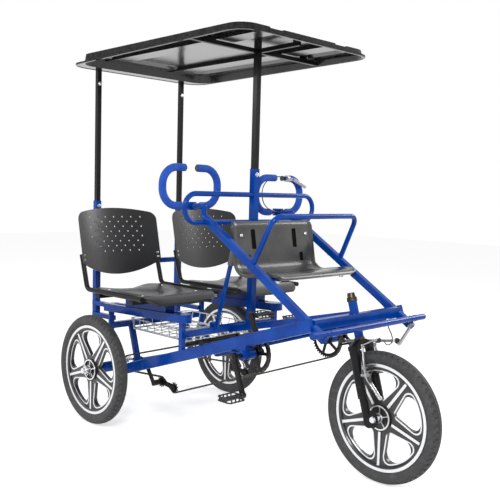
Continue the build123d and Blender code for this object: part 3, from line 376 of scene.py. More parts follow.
# half of the section, bead to crown: (distance from the wheel's middle plane, radius)
half_section = [(0.0124, rim_radius - 0.0048), (0.0134, rim_radius + 0.0006), (0.0185, rim_radius + 0.0022),
                (0.0232, 0.216), (0.0258, 0.2222), (0.0262, 0.2228), (0.0267, 0.229), (0.027, 0.2296),
                (0.0268, 0.236), (0.0262, 0.2402), (0.0254, 0.2422), (0.0215, 0.2474), (0.017, 0.2512),
                (0.0118, 0.2534), (0.0086, 0.2543), (0.008, 0.2522), (0.0056, 0.2524), (0.005, 0.2549)]


def detailed_tyre(name, centre, body):
    mesh = bmesh.new()
    section = half_section + [(-station, radius) for station, radius in reversed(half_section)]
    points = [mesh.verts.new(centre + Vector((0, station, radius))) for station, radius in section]
    edges = [mesh.edges.new(pair) for pair in zip(points, points[1:] + points[:1])]
    bmesh.ops.spin(mesh, geom=points + edges, cent=centre, axis=(0, 1, 0), angle=2 * math.pi,
                   steps=tyre_steps, use_merge=True)
    bmesh.ops.remove_doubles(mesh, verts=mesh.verts, dist=1e-6)
    bmesh.ops.recalc_face_normals(mesh, faces=mesh.faces)
    sipes = []
    for face in mesh.faces:
        middle = face.calc_center_median() - centre
        radius, station = math.hypot(middle.x, middle.z), abs(middle.y)
        step = int((math.atan2(middle.x, middle.z) / (2 * math.pi) + 1) * tyre_steps + 0.5 * (middle.y > 0))
        if radius > shoulder and station > sipe_edge and (step + (station < 0.0195)) % 3 == 0:
            sipes.append(face)
        if radius > shoulder:
            face.material_index = 1
    bmesh.ops.inset_individual(mesh, faces=sipes, thickness=0.0012, depth=-0.0022)
    tyre = new_piece(name, mesh, body, rubber, 28)
    tyre.data.materials.append(tread_rubber.material)
    return tyre


for name, centre in wheel_centres.items():
    tyre = detailed_tyre(f"{name}_tyre_rubber", centre, f"{name}_wheel")
    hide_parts(f"{name}_tyre")

# A valve stands inside each rim, between two spokes: a rubber stem on the inner tube, pushed through
# the rim, with a black screw cap.
bright_steel = speckled("bright_steel", (120, 3), (206, 207, 210), (232, 232, 235), (0.22, 0.12),
                        (0.00005, 0.4), Metallic=1)
valve_turn = math.radians(50)
inward = Vector((-math.sin(valve_turn), 0, -math.cos(valve_turn)))
for name, centre in wheel_centres.items():
    valve = bmesh.new()
    turned(valve, [(-0.002, 0), (-0.002, 0.0042), (0.004, 0.004), (0.006, 0.0028), (0.016, 0.0028),
                   (0.016, 0.0038), (0.024, 0.0036), (0.0255, 0.0028), (0.0255, 0)],
           centre - inward * (rim_radius - 0.0215), inward, 12)
    new_piece(f"{name}_valve", valve, f"{name}_wheel", moulded_black)


# Rear axles are bright steel bar, keyed to the wheels; each ends in a flange with five screws, and
# the front axle in two nuts on washers.
def cone(mesh, segments, lower, upper, depth, place):
    """Closed cone or disc about the middle of a placing matrix."""
    return bmesh.ops.create_cone(mesh, cap_ends=True, segments=segments, radius1=lower, radius2=upper,
                                 depth=depth, matrix=place)["verts"]


def edges_of(verts):
    return list({edge for vert in verts for edge in vert.link_edges})


def soften(mesh, geom, offset, segments, affect="EDGES"):
    """Round edges, or corners, with a bevel."""
    return bmesh.ops.bevel(mesh, geom=geom, offset=offset, segments=segments, profile=0.5, affect=affect,
                           material=-1, clamp_overlap=True)


def hex_fastener(mesh, place, along, size, height, washer=True):
    """Washer and chamfered hexagon, standing on a surface at a place; size is across its corners."""
    base = placed(place, along)
    if washer:
        cone(mesh, 20, size * 0.74, size * 0.7, size * 0.12, base @ Matrix.Translation((0, 0, size * 0.05)))
    middle = Matrix.Translation((0, 0, size * 0.1 + height / 2))
    nut = cone(mesh, 6, size / 2, size / 2, height, base @ middle)
    top = [vert for vert in nut if (base.inverted() @ vert.co).z > size * 0.1 + height * 0.9]
    soften(mesh, [edge for edge in edges_of(top) if all(vert in top for vert in edge.verts)], size * 0.07, 2)


def dome_screw(mesh, place, along, radius):
    dome = ((0.15, 1), (0.45, 0.8), (0.62, 0.42), (0.4, 0.36), (0.38, 0))
    outline = [(radius * height, radius * width) for height, width in dome]
    turned(mesh, [(-0.001, 0), (-0.001, radius), *outline], place, along, 18)


def screw_circle(mesh, centre, y, out, radius, size, start=0):
    """Five dome screws round a centre, on a face that looks out to one side."""
    for index in range(5):
        turn = start + index * 2 * math.pi / 5
        at = (centre.x + radius * math.sin(turn), y, centre.z + radius * math.cos(turn))
        dome_screw(mesh, at, (0, out, 0), size)


coat(bright_steel, "right_half_axle", "left_half_axle", "front_axle")
for side, sign in sides.items():
    low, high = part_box(f"{side}_half_axle")
    centre = wheel_centres[f"{side}_rear"]
    flange = (high.y if sign > 0 else low.y) - sign * 0.017
    screws = bmesh.new()
    screw_circle(screws, centre, flange, sign, 0.0145, 0.0026)
    new_piece(f"{side}_axle_screws", screws, f"{side}_rear_wheel", bright_steel)
hub_nuts = bmesh.new()
axle_low, axle_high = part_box("front_axle")
hub = wheel_centres["front"]
for sign, end in ((-1, axle_low.y), (1, axle_high.y)):
    hex_fastener(hub_nuts, (hub.x, end - sign * 0.0075, hub.z), (0, sign, 0), 0.017, 0.0055)
new_piece("front_axle_nuts", hub_nuts, "fork", bright_steel)


# Cranks and chainrings are cold-pressed steel under black coat, bolted up with bright screws and
# nuts. Each chain is a half-inch roller chain: pressed side plates on hardened rollers.
chain_steel = speckled("chain_steel", (140, 4), (92, 88, 82), (46, 42, 38), (0.32, 0.2), (0.00004, 0.5),
                       (0.35, 0.7), Metallic=0.9)
crank_at = {side: pivots[f"{side}_crank_turn"] for side in sides}
plate_out, plate_in = 0.229, 0.2246
first_screw = {"right": math.radians(22), "left": math.radians(56)}
for side, sign in sides.items():
    hardware = bmesh.new()
    low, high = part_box(f"{side}_crankset")
    centre = crank_at[side]
    for end, way in ((low.y, -1), (high.y, 1)):
        hex_fastener(hardware, (centre.x, end, centre.z), (0, way, 0), 0.015, 0.0055)
    for y, way in ((plate_out, 1), (plate_in, -1)):
        screw_circle(hardware, centre, sign * y, sign * way, 0.0655, 0.0042, first_screw[side])
    new_piece(f"{side}_crank_hardware", hardware, f"{side}_cranks", chain_steel)

pitch = 0.0127


def pitch_radius(teeth):
    return pitch / (2 * math.sin(math.pi / teeth))


def distances(points):
    """Distance of each point from the first, along the line."""
    lengths = [0]
    for here, there in zip(points, points[1:]):
        lengths.append(lengths[-1] + (there - here).length)
    return lengths


def chain_course(wheels):
    """Pins of a chain led round its wheels: (x, z, radius, way round), as evenly spaced points."""
    legs = []
    for first, second in zip(wheels, wheels[1:] + wheels[:1]):
        gap = Vector((second[0] - first[0], second[1] - first[1]))
        swing = first[2] * first[3] - second[2] * second[3]
        heading = math.atan2(gap.y, gap.x) - math.asin(swing / gap.length)
        normal = Vector((-math.sin(heading), math.cos(heading)))
        legs.append([Vector(wheel[:2]) + wheel[2] * wheel[3] * normal for wheel in (first, second)])
    dense = []
    for index, (x, z, radius, way) in enumerate(wheels):
        centre, arrive, leave = Vector((x, z)), legs[index - 1][1], legs[index][0]
        begin, end = math.atan2(*(arrive - centre).yx), math.atan2(*(leave - centre).yx)
        sweep = (end - begin) % (2 * math.pi) if way < 0 else -((begin - end) % (2 * math.pi))
        steps = max(2, int(abs(sweep) * radius / 0.002))
        turns = [begin + sweep * step / steps for step in range(steps + 1)]
        dense += [centre + radius * Vector((math.cos(turn), math.sin(turn))) for turn in turns]
    lengths = distances([*dense, dense[0]])
    links = 2 * round(lengths[-1] / pitch / 2)
    pins, index = [], 0
    for link in range(links):
        wanted = lengths[-1] * link / links
        while lengths[index + 1] < wanted:
            index += 1
        share = (wanted - lengths[index]) / (lengths[index + 1] - lengths[index])
        pins.append(dense[index].lerp(dense[(index + 1) % len(dense)], share))
    return pins


def link_template(half_gap):
    """One chain link along X: two round-ended side plates, and a roller on its first pin."""
    mesh = bmesh.new()
    for way in (-1, 1):
        for vert in cone(mesh, 12, 0.004, 0.004, 0.001, Matrix.Translation((0, 0, way * half_gap))):
            vert.co.x += pitch if vert.co.x > 1e-6 else 0
    cone(mesh, 10, 0.0021, 0.0021, 2 * half_gap + 0.0016, Matrix())
    bmesh.ops.recalc_face_normals(mesh, faces=mesh.faces)
    return mesh_data("link", mesh)


templates = [link_template(0.0021), link_template(0.0032)]
chain_y, guide_at, tension_at = 0.228, (-0.395, 0.215), (-0.3, 0.205)
sprocket_teeth, ring_teeth, idler_teeth = 18, 40, 11
for side, sign in sides.items():
    rear, crank = wheel_centres[f"{side}_rear"], crank_at[side]
    wheels = [(rear.x, rear.z, pitch_radius(sprocket_teeth), 1),
              (crank.x, crank.z, pitch_radius(ring_teeth), 1),
              (*tension_at, pitch_radius(idler_teeth), 1), (*guide_at, pitch_radius(idler_teeth), -1)]
    pins = chain_course(wheels)
    chain = bmesh.new()
    for index, pin in enumerate(pins):
        following = pins[(index + 1) % len(pins)]
        heading = math.atan2(following.y - pin.y, following.x - pin.x)
        before = len(chain.verts)
        chain.from_mesh(templates[index % 2])
        chain.verts.ensure_lookup_table()
        turn = Matrix.Rotation(-heading, 4, "Y") @ Matrix.Rotation(math.pi / 2, 4, "X")
        bmesh.ops.transform(chain, matrix=Matrix.Translation((pin.x, sign * chain_y, pin.y)) @ turn,
                            verts=chain.verts[before:])
    links = new_piece(f"{side}_chain_links", chain, "frame", chain_steel)
    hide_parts(f"{side}_chain")


# Each pedal is a moulded black cage: two toothed rails on posts round a ribbed barrel that turns
# on a steel spindle, with a plate at either end to tie the rails.
def pedal_rail(mesh, centre, level):
    outer = bmesh.ops.create_cube(mesh, size=1, matrix=Matrix.Translation(centre + Vector((0, 0, level)))
                                  @ Matrix.Diagonal((0.074, 0.088, 0.004, 1)))["verts"]
    corners = [edge for edge in edges_of(outer) if abs((edge.verts[0].co - edge.verts[1].co).z) > 0.001]
    around = {face for vert in soften(mesh, corners, 0.013, 5)["verts"] for face in vert.link_faces}
    flats = [face for face in around if abs(face.normal.z) > 0.9]
    rims = []
    for face in flats:
        bmesh.ops.inset_region(mesh, faces=[face], thickness=0.0062)
        rims += face.edges
    bmesh.ops.delete(mesh, geom=flats, context="FACES_ONLY")
    bmesh.ops.bridge_loops(mesh, edges=rims)


for side, sign in sides.items():
    cages, spindles = bmesh.new(), bmesh.new()
    low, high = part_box(f"{side}_pedals")
    near, far = min(abs(low.y), abs(high.y)), max(abs(low.y), abs(high.y))
    for centre, inward in ((Vector((high.x - 0.037, sign * (far - 0.044), low.z + 0.011)), -sign),
                           (Vector((low.x + 0.037, sign * (near + 0.044), high.z - 0.011)), sign)):
        for level in (-0.0078, 0.0078):
            pedal_rail(cages, centre, level)
        for ahead in (-0.0338, 0.0338):
            for shift in (-0.03, -0.01, 0.01, 0.03):
                cone(cages, 8, 0.003, 0.003, 0.014, placed(centre + Vector((ahead, shift, 0)), (0, 0, 1)))
                for rise in (-1, 1):
                    tooth = centre + Vector((ahead, shift, rise * 0.0107))
                    cone(cages, 6, 0.0026, 0.0012, 0.0022, placed(tooth, (0, 0, rise)))
        for ahead in (-0.015, 0.015):
            for shift in (-0.0405, 0.0405):
                cone(cages, 8, 0.0032, 0.0032, 0.014, placed(centre + Vector((ahead, shift, 0)), (0, 0, 1)))
        ribs = [(-0.0405, 0), (-0.0405, 0.011)]
        for rib in range(-3, 4):
            ribs += [(rib * 0.011 - 0.002, 0.0088), (rib * 0.011, 0.01), (rib * 0.011 + 0.002, 0.0088)]
        turned(cages, [*ribs, (0.0405, 0.011), (0.0405, 0)], centre, (0, 1, 0), 20)
        turned(spindles, [(0, 0), (0, 0.0065), (0.01, 0.0065), (0.0135, 0.0085), (0.0155, 0.0085),
                          (0.0155, 0)],
               centre + Vector((0, inward * 0.0405, 0)), (0, inward, 0), 18)
    cage = new_piece(f"{side}_pedal_cages", cages, f"{side}_cranks", moulded_black)
    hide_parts(f"{side}_pedals")
    new_piece(f"{side}_pedal_spindles", spindles, f"{side}_cranks", bright_steel)


# The adult seat backs are dark moulded plastic with a fine leather grain, pressed through with
# staggered rows of round holes. Each is screwed to two bent tubes.
def moulded(name, light, dark, grain_scale, gloss, scuff):
    finish = Finish(name, Specular_IOR_Level=0.3, Coat_Weight=0.3, Coat_Roughness=0.22)
    pebbles = finish.cells(grain_scale)
    clouds = finish.smooth(finish.noise(7, 4), 0.3, 0.75)
    marks = finish.smooth(finish.noise(55, 3, 0.5, finish.about(stretch=(1, 5, 1))), 0.66, 0.76)
    tone = finish.mix(clouds, light, dark)
    finish.feed("Base Color", finish.mix(marks * scuff, tone, colour(170, 168, 164)))
    finish.feed("Roughness", clouds * 0.08 + marks * 0.12 + gloss)
    finish.bump(pebbles, 0.00018, 0.45)
    return finish


seat_plastic = moulded("seat_plastic", colour(28, 28, 29), colour(20, 20, 21), 620, 0.34, 0.06)
coat(seat_plastic, "right_seat_back", "left_seat_back")
lean, pan_screw_z = math.tan(math.radians(12.7)), 0.64335
for side in sides:
    screws = bmesh.new()
    low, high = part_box(f"{side}_seat_back")
    middle = (low.y + high.y) / 2
    for wing in (-1, 1):
        for height in (0.772, 0.792):
            x = low.x + (high.z - height) * lean + 0.0425
            dome_screw(screws, (x, middle + wing * 0.21, height), (0.93, -wing * 0.36, 0.2), 0.0062)
        for x in (-0.535, -0.285):
            dome_screw(screws, (x, middle + wing * 0.15, pan_screw_z), (0, 0, 1), 0.0052)
    new_piece(f"{side}_seat_screws", screws, "frame", bright_steel)

# Each adult seat pan is one moulded shell of black plastic, dished for the rider, with a front edge
# that falls away and a rim turned down all round. It is screwed to the two seat tubes.
pan_top, pan_half, pan_corner, pan_rim, pan_wall = 0.6432, 0.1975, 0.06, 0.011, 0.0036


def pan_height(x, across):
    """Top of the pan: dished between its bars, low in the middle of its rear edge, rolled down in front."""
    from_rear, from_front = x - pan_low.x, pan_high.x - x
    rear = 0.017 * max(0, 1 - from_rear / 0.085)**1.6
    scoop = 0.01 * math.sin(math.pi * min(1, max(0, (x + 0.52) / 0.22)))**2
    middle = (1 + math.cos(math.pi * min(1, abs(across) / 0.148))) / 2
    swell = 0.006 * math.exp(-((from_front - 0.07) / 0.03)**2)
    fall = 0.022 * max(0, 1 - from_front / 0.05)**2
    return pan_top + swell - fall - (rear + scoop + 0.0035) * middle


def corner_trim(radius, from_end):
    """How much a rounded corner has lost at a distance from the end."""
    return radius - math.sqrt(max(0, radius**2 - max(0, radius - from_end)**2))


def extruded(mesh, edges):
    """New corners and new edges, which still lie on the old ones."""
    made = bmesh.ops.extrude_edge_only(mesh, edges=edges)["geom"]
    kinds = (bmesh.types.BMVert, bmesh.types.BMEdge)
    return [[item for item in made if isinstance(item, kind)] for kind in kinds]


def face_up(mesh):
    """Turn a sheet so that its faces look up."""
    if sum(face.normal.z for face in mesh.faces) < 0:
        bmesh.ops.reverse_faces(mesh, faces=mesh.faces)
    mesh.normal_update()


for side in sides:
    pan_low, pan_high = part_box(f"{side}_seat_pan")
    centre = (pan_low.y + pan_high.y) / 2
    shell = bmesh.new()
    bmesh.ops.create_grid(shell, x_segments=38, y_segments=32, size=1)
    for vert in shell.verts:
        x = pan_low.x + 0.001 + (vert.co.x + 1) / 2 * (pan_high.x - pan_low.x - 0.002)
        across = vert.co.y * pan_half
        trim = corner_trim(pan_corner, min(x - pan_low.x, pan_high.x - x))
        across -= math.copysign(trim * abs(vert.co.y)**3, across)
        vert.co = (x, centre + across, pan_height(x, across))
    rim = [edge for edge in shell.edges if edge.is_boundary]
    for vert in extruded(shell, rim)[0]:
        vert.co.z -= pan_rim
    soften(shell, rim, 0.006, 4)
    bmesh.ops.recalc_face_normals(shell, faces=shell.faces)
    face_up(shell)
    bmesh.ops.solidify(shell, geom=shell.faces[:], thickness=pan_wall)
    pan_piece = new_piece(f"{side}_seat_pan_shell", shell, "frame", seat_plastic, 40)
    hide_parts(f"{side}_seat_pan")

# The child bench is one bent sheet of dark grey plastic with a turned-back rim and rounded slots.
# It hangs on two cross tubes, is held by two bright screws and has an edge that curls under in front.
bench_plastic = moulded("bench_plastic", colour(80, 80, 78), colour(58, 58, 57), 520, 0.2, 0.1)
bench_half, bench_skin, rim_depth, slot_depth, corner_round = 0.2495, 0.0045, 0.015, 0.01, 0.036
flank_start = 0.18


def rounded_line(points, radii, steps=8):
    """Straight runs joined by arcs."""
    line = [points[0]]
    for before, corner, after, radius in zip(points, points[1:], points[2:], radii):
        back, on = (before - corner).normalized(), (after - corner).normalized()
        half = back.angle(on) / 2
        centre = corner + (back + on).normalized() * radius / math.sin(half)
        reach = radius / math.tan(half)
        start, end = [(corner + way * reach - centre).normalized() for way in (back, on)]
        line += [centre + start.slerp(end, step / steps) * radius for step in range(steps + 1)]
    return [*line, points[-1]]


def stations(length, step, wanted):
    """Even stations along a length, some of them moved onto wanted places."""
    count = round(length / step)
    places = [length * index / count for index in range(count + 1)]
    for place in wanted:
        nearest = min(range(1, count), key=lambda index: abs(places[index] - place))
        places[nearest] = place
    return sorted(places)


bend = ((0.0555, 0.968), (0.069, 0.984), (0.103, 0.785), (0.147, 0.76), (0.285, 0.781), (0.337, 0.778),
        (0.344, 0.762))
bench_line = rounded_line([Vector((x, 0, z)) for x, z in bend], [0.009, 0.055, 0.06, 0.06, 0.009])
lengths = distances(bench_line)


def on_bench(distance):
    """Place and tangent of the sheet at a distance along its bend."""
    index = max(i for i, length in enumerate(lengths[:-1]) if length <= distance + 1e-9)
    run = bench_line[index + 1] - bench_line[index]
    return bench_line[index] + run * (distance - lengths[index]) / run.length, run.normalized()


def bench_distance(height):
    """Distance along the bend at which the back passes a height."""
    return min((step * 0.0005 for step in range(40, 420)), key=lambda d: abs(on_bench(d)[0].z - height))


# each slot's distance from the middle, half width, and its upper and lower ends along the bend
slots = [(middle, half, bench_distance(top), bench_distance(foot))
         for middle, half, top, foot in ((0.128, 0.0135, 0.946, 0.864), (0.164, 0.0115, 0.841, 0.803))]
runs = stations(lengths[-1], 0.0085, [end for slot in slots for end in slot[2:]])
halves = stations(bench_half, 0.0095, [slot[0] + way * slot[1] for slot in slots for way in (-1, 1)])
widths = [-y for y in reversed(halves[1:])] + halves
sheet = bmesh.new()
bmesh.ops.create_grid(sheet, x_segments=len(runs) - 1, y_segments=len(widths) - 1, size=1)
outline = [edge for edge in sheet.edges if edge.is_boundary]
for vert in sheet.verts:
    distance = runs[round((vert.co.x + 1) / 2 * (len(runs) - 1))]
    width = widths[round((vert.co.y + 1) / 2 * (len(widths) - 1))]
    from_end = min(distance, lengths[-1] - distance)
    trim = corner_trim(corner_round, from_end)
    beyond = max(0, abs(width) - flank_start) / (bench_half - flank_start)
    place, tangent = on_bench(distance)
    normal = Vector((-tangent.z, 0, tangent.x))
    dish = 0.005 * (1 - (width / bench_half)**2) * min(1, from_end / 0.06)
    dish -= 0.0036 if min(from_end, bench_half - abs(width)) < 0.012 else 0
    sideways = Vector((0, width - math.copysign(trim * beyond, width), 0))
    vert.co = place + normal * (bench_skin - dish) + sideways


def in_slot(face):
    centre = face.calc_center_median()
    return centre.x < 0.13 and any(abs(abs(centre.y) - middle) < half
                                   and on_bench(top)[0].z > centre.z > on_bench(foot)[0].z
                                   for middle, half, top, foot in slots)


bmesh.ops.delete(sheet, geom=[face for face in sheet.faces if in_slot(face)], context="FACES")
corners = [vert for vert in sheet.verts if vert.is_boundary and len(vert.link_faces) == 3
           and not any(edge in outline for edge in vert.link_edges)]
soften(sheet, corners, 0.0065, 3, "VERTICES")
sheet.normal_update()
face_up(sheet)
slot_edges = [edge for edge in sheet.edges if edge.is_boundary and edge not in outline]
for lips, depth in ((outline, rim_depth), (slot_edges, slot_depth)):
    behind = {tuple(vert.co): vert.co - vert.normal * depth for edge in lips for vert in edge.verts}
    for vert in extruded(sheet, lips)[0]:
        vert.co = behind[tuple(vert.co)]
soften(sheet, outline, 0.007, 4)
sheet.normal_update()
bmesh.ops.solidify(sheet, geom=sheet.faces[:], thickness=0.004)
bench = new_piece("child_bench_shell", sheet, "frame", bench_plastic, 40)
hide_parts("child_bench")

# Behind each slot lies a dull black sheet, a little larger than the slot and rounded at its corners. It is
# painted shade, standing in for the shadow seen through the open slot.
# The bench is held by two bright screws in its back and two nuts under its seat.
# A near-black finish with faint rows, for the sheets of painted shade in the slots.
slot_shade = Finish("slot_shade", Specular_IOR_Level=0.05)
rows = slot_shade.smooth((slot_shade.axis("Z") * 520).math("SINE"), -0.2, 0.8)
slot_shade.feed("Base Color", slot_shade.mix(rows, colour(9, 9, 10), colour(16, 16, 17)))
slot_shade.feed("Roughness", rows * 0.1 + 0.7)


def oriented(place, *directions):
    """Matrix that sets a shape at a place, with its own X, Y and Z along three directions."""
    return Matrix.Translation(place) @ Matrix(directions).transposed().to_4x4()


# One sheet of painted shade just behind each slot, on both sides of the bench.
shade_sheets, shade_sheet_wall = bmesh.new(), 0.003
for middle, half, top, foot in slots:
    place, tangent = on_bench((top + foot) / 2)
    normal = Vector((-tangent.z, 0, tangent.x))
    for sign in sides.values():
        at = place + normal * (bench_skin - 0.0075) + Vector((0, sign * middle, 0))
        size = Matrix.Diagonal((foot - top + 0.006, 2 * half + 0.006, shade_sheet_wall, 1))
        bmesh.ops.create_cube(shade_sheets, size=1, matrix=oriented(at, tangent, (0, 1, 0), normal) @ size)
corners = [edge for edge in shade_sheets.edges if abs(edge.calc_length() - shade_sheet_wall) < 1e-5]
soften(shade_sheets, corners, 0.008, 4)
new_piece("bench_slot_shade_sheets", shade_sheets, "frame", slot_shade)
screws, nuts = bmesh.new(), bmesh.new()
for sign in sides.values():
    dome_screw(screws, (0.0842, sign * 0.201, 0.9216), (0.985, 0, 0.168), 0.0085)
    hex_fastener(nuts, (0.298, sign * 0.2, 0.754), (0, 0, -1), 0.017, 0.007)
new_piece("bench_screws", screws, "frame", bright_steel)
new_piece("bench_nuts", nuts, "frame", bright_steel)

# The roof is a thermoformed sheet of dark plastic: pebbled on its weather side, glossy and
# slightly wavy below, with a rolled rim. It rests on a cross bar, a forward arm and two posts.
roof_plastic = Finish("roof_plastic", Specular_IOR_Level=0.1, Coat_Roughness=0.2)
roof_low, roof_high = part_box("roof")
waves = roof_plastic.noise(3.2, 2, 0.4, roof_plastic.about(stretch=(1, 1.6, 0.4)))
pebbles = roof_plastic.cells(230)
normal = roof_plastic.node("ShaderNodeTexCoord", {}, output="Normal")
to_middle = roof_plastic.about(((roof_low.x + roof_high.x) / 2, 0, roof_high.z), (-1, -1, 0))
inwards = roof_plastic.node("ShaderNodeVectorMath", {"operation": "DOT_PRODUCT"}, normal, to_middle,
                            output="Value")
below_top = 1 - roof_plastic.smooth(roof_plastic.axis("Z"), roof_high.z - 0.022, roof_high.z - 0.018)
inner_wall = roof_plastic.smooth(inwards, 0.05, 0.15) * below_top
underside = roof_plastic.smooth(-1 * roof_plastic.axis("Z", normal), 0.3, 0.6)
outer_side = 1 - underside.math("MAXIMUM", inner_wall)
bloom = roof_plastic.smooth(roof_plastic.noise(60, 5), 0.35, 0.7)
roof_plastic.feed("Base Color", roof_plastic.mix(bloom, colour(20, 20, 21), colour(44, 44, 44)))
roof_plastic.feed("Roughness", outer_side * 0.5 + waves * 0.08 + 0.14)
roof_plastic.feed("Coat Weight", 1 - outer_side * 0.97)
roof_plastic.bump(waves * (6 - outer_side * 6) + pebbles * outer_side * 0.03, 0.004, 0.35)
coat(roof_plastic, "roof")
post_bolts, post_y = bmesh.new(), 0.262
for sign in sides.values():
    hex_fastener(post_bolts, (-0.879, sign * post_y, 1.615), (1, 0, 0), 0.013, 0.005)
    hex_fastener(post_bolts, (-0.876, sign * post_y, 1.015), (1, 0, 0), 0.014, 0.0055)
hex_fastener(post_bolts, (-0.033, 0, 1.18), (1, 0, 0), 0.014, 0.0055)
new_piece("roof_post_bolts", post_bolts, "frame", bright_steel)


# The front brake is a pair of forged aluminium arms on studs before the fork legs. Each carries a
# black rubber block; a bent silver pipe leads the cable in and pulls the two tops together.
up, fork_at = axes["fork_steering"], pivots["fork_steering"]
forward = Vector((up.z, 0, -up.x))


def on_fork(height, ahead, side_shift=0):
    return fork_at + up * height + forward * ahead + Vector((0, side_shift, 0))


def route(points, resolution=10):
    """Points of a smooth spline guided by a few control points."""
    data = bpy.data.curves.new("route", "CURVE")
    data.dimensions, data.resolution_u = "3D", resolution
    spline = data.splines.new("NURBS")
    spline.points.add(len(points) - 1)
    for knot, point in zip(spline.points, points):
        knot.co = (*point, 1)
    spline.order_u, spline.use_endpoint_u = 3, True
    holder = bpy.data.objects.new("route", data)
    line = bpy.data.meshes.new_from_object(holder)
    places = [vert.co.copy() for vert in line.vertices]
    for item, store in ((holder, bpy.data.objects), (data, bpy.data.curves), (line, bpy.data.meshes)):
        store.remove(item)
    return places


def swept(mesh, path, radii, segments=12, flat=1, side=(0, 1, 0)):
    """Bar along a path: one ring of edges is drawn from point to point, and both ends are capped."""
    tangents = [path[1] - path[0]] + [b - a for a, b in zip(path, path[2:])] + [path[-1] - path[-2]]
    if not isinstance(radii, (list, tuple)):
        radii = [radii] * len(path)
    across = Vector(side)
    along = tangents[0].normalized()
    across = (across - along * across.dot(along)).normalized()
    first = oriented(path[0], across, along.cross(across), along)
    ring = bmesh.ops.create_circle(mesh, cap_ends=True, segments=segments, radius=radii[0],
                                   matrix=first @ Matrix.Diagonal((1, flat, 1, 1)))["verts"]
    edges = edges_of(ring)
    for index in range(1, len(path)):
        moved, edges = extruded(mesh, edges)
        turn = tangents[index - 1].rotation_difference(tangents[index]).to_matrix().to_4x4()
        grow = Matrix.Scale(radii[index] / radii[index - 1], 4)
        bmesh.ops.transform(mesh, verts=moved, matrix=Matrix.Translation(path[index]) @ turn @ grow
                            @ Matrix.Translation(-path[index - 1]))
    bmesh.ops.edgeloop_fill(mesh, edges=edges)


def fork_line(sign, *places):
    """Smooth line led by places on the fork: height, distance ahead, and distance out to one side."""
    return route([on_fork(height, ahead, sign * out) for height, ahead, out in places])


forged = speckled("forged_aluminium", (160, 4), (150, 151, 153), (178, 179, 182), (0.28, 0.14),
                  (0.00006, 0.5), Metallic=0.9)
arms, blocks = bmesh.new(), bmesh.new()
stud_y, stud_height, pad_height, pipe_ahead = 0.0505, 0.17, 0.197, 0.038
for sign in sides.values():
    line = fork_line(sign, (0.16, 0.034, stud_y), (0.182, 0.036, 0.0525), (0.215, 0.038, 0.0515),
                     (0.25, 0.037, 0.044), (0.281, 0.036, 0.039))
    swell = [0.0085 - 0.003 * index / (len(line) - 1) for index in range(len(line))]
    swept(arms, line, swell, 16, 0.62)
    turned(arms, [(0, 0), (0, 0.0085), (0.03, 0.0085), (0.0315, 0.007), (0.0315, 0)],
           on_fork(stud_height, 0.012, sign * stud_y), forward)
    turned(arms, [(0, 0), (0, 0.004), (0.019, 0.004), (0.019, 0)],
           on_fork(pad_height, 0.035, sign * 0.032), (0, sign, 0))
    hex_fastener(arms, on_fork(stud_height, 0.0435, sign * stud_y), forward, 0.012, 0.004)
    hex_fastener(arms, on_fork(pad_height, 0.036, sign * 0.0565), (0, sign, 0), 0.012, 0.0045)
    hex_fastener(arms, on_fork(0.275, 0.04, sign * 0.04), forward, 0.009, 0.0035)
    spring = fork_line(sign, (0.168, 0.026, 0.06), (0.19, 0.028, 0.061), (0.222, 0.033, 0.0585))
    swept(arms, spring, 0.001, 8)
    block_at = oriented(on_fork(pad_height, 0.033, sign * 0.0278), forward, up.cross(forward), up)
    size = Matrix.Diagonal((0.056, 0.0082, 0.011, 1))
    block = bmesh.ops.create_cube(blocks, size=1, matrix=block_at @ size)["verts"]
    soften(blocks, edges_of(block), 0.0024, 3)
pipe = fork_line(1, (0.288, pipe_ahead, 0.078), (0.291, pipe_ahead, 0.06), (0.292, pipe_ahead, 0.036),
                 (0.287, pipe_ahead, 0.004), (0.283, 0.037, -0.03), (0.283, 0.037, -0.046))
swept(arms, pipe, 0.0026, 12)
brake_arms = new_piece("front_brake_arms", arms, "fork", forged)
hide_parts("front_brake")
new_piece("front_brake_blocks", blocks, "fork", rubber)
boot = bmesh.new()
folds = [(0, 0), (0, 0.0034)]
for fold in range(5):
    folds += [(0.003 + fold * 0.004, 0.006 - fold * 0.0004), (0.005 + fold * 0.004, 0.0044 - fold * 0.0003)]
turned(boot, [*folds, (0.0215, 0)], on_fork(0.2905, pipe_ahead, 0.08), (0, -1, 0), 16)
new_piece("front_brake_boot", boot, "fork", moulded_black)

# The brake cable is a thin black sheathed wire. From the lever it follows the inside of the left ring
# to the stem, runs under the left column in four clips, and hangs in one slack loop to the bent pipe.
cable_black = speckled("cable_sheath", (300, 2), (30, 30, 31), (44, 44, 45), (0.35, 0.1), (0.00004, 0.4),
                       Coat_Weight=0.2)
cable, cable_radius, column_y = bmesh.new(), 0.0024, 0.275
cross_low, cross_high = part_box("front_crossmember")
cable_start = Vector((cross_high.x - 0.009, 0.195, cross_low.z - 0.0002))
cable_end = on_fork(0.2885, pipe_ahead, 0.077)
slack = [cable_start, cable_start + Vector((0.004, 0, -0.036)), (0.57, 0.204, 0.532),
         (0.578, 0.196, 0.502), (0.584, 0.15, 0.498), (0.593, 0.116, 0.519),
         cable_end + Vector((0, 0.022, -0.002)), cable_end]
swept(cable, route(slack, 14), cable_radius, 10)
cable_piece = new_piece("front_brake_cable", cable, None, cable_black)
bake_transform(cable_piece)
column_foot_x, column_foot_z, column_slope, cable_drop = 0.607, 0.574, 0.625, 0.0176
column_down = Vector((1, 0, -column_slope)).normalized()
column_under = Vector((column_down.z, 0, -column_down.x))


def under_column(x):
    """Place against the underside of the left column, above x."""
    middle = Vector((x, column_y, column_foot_z + (column_foot_x - x) * column_slope))
    return middle + column_under * cable_drop


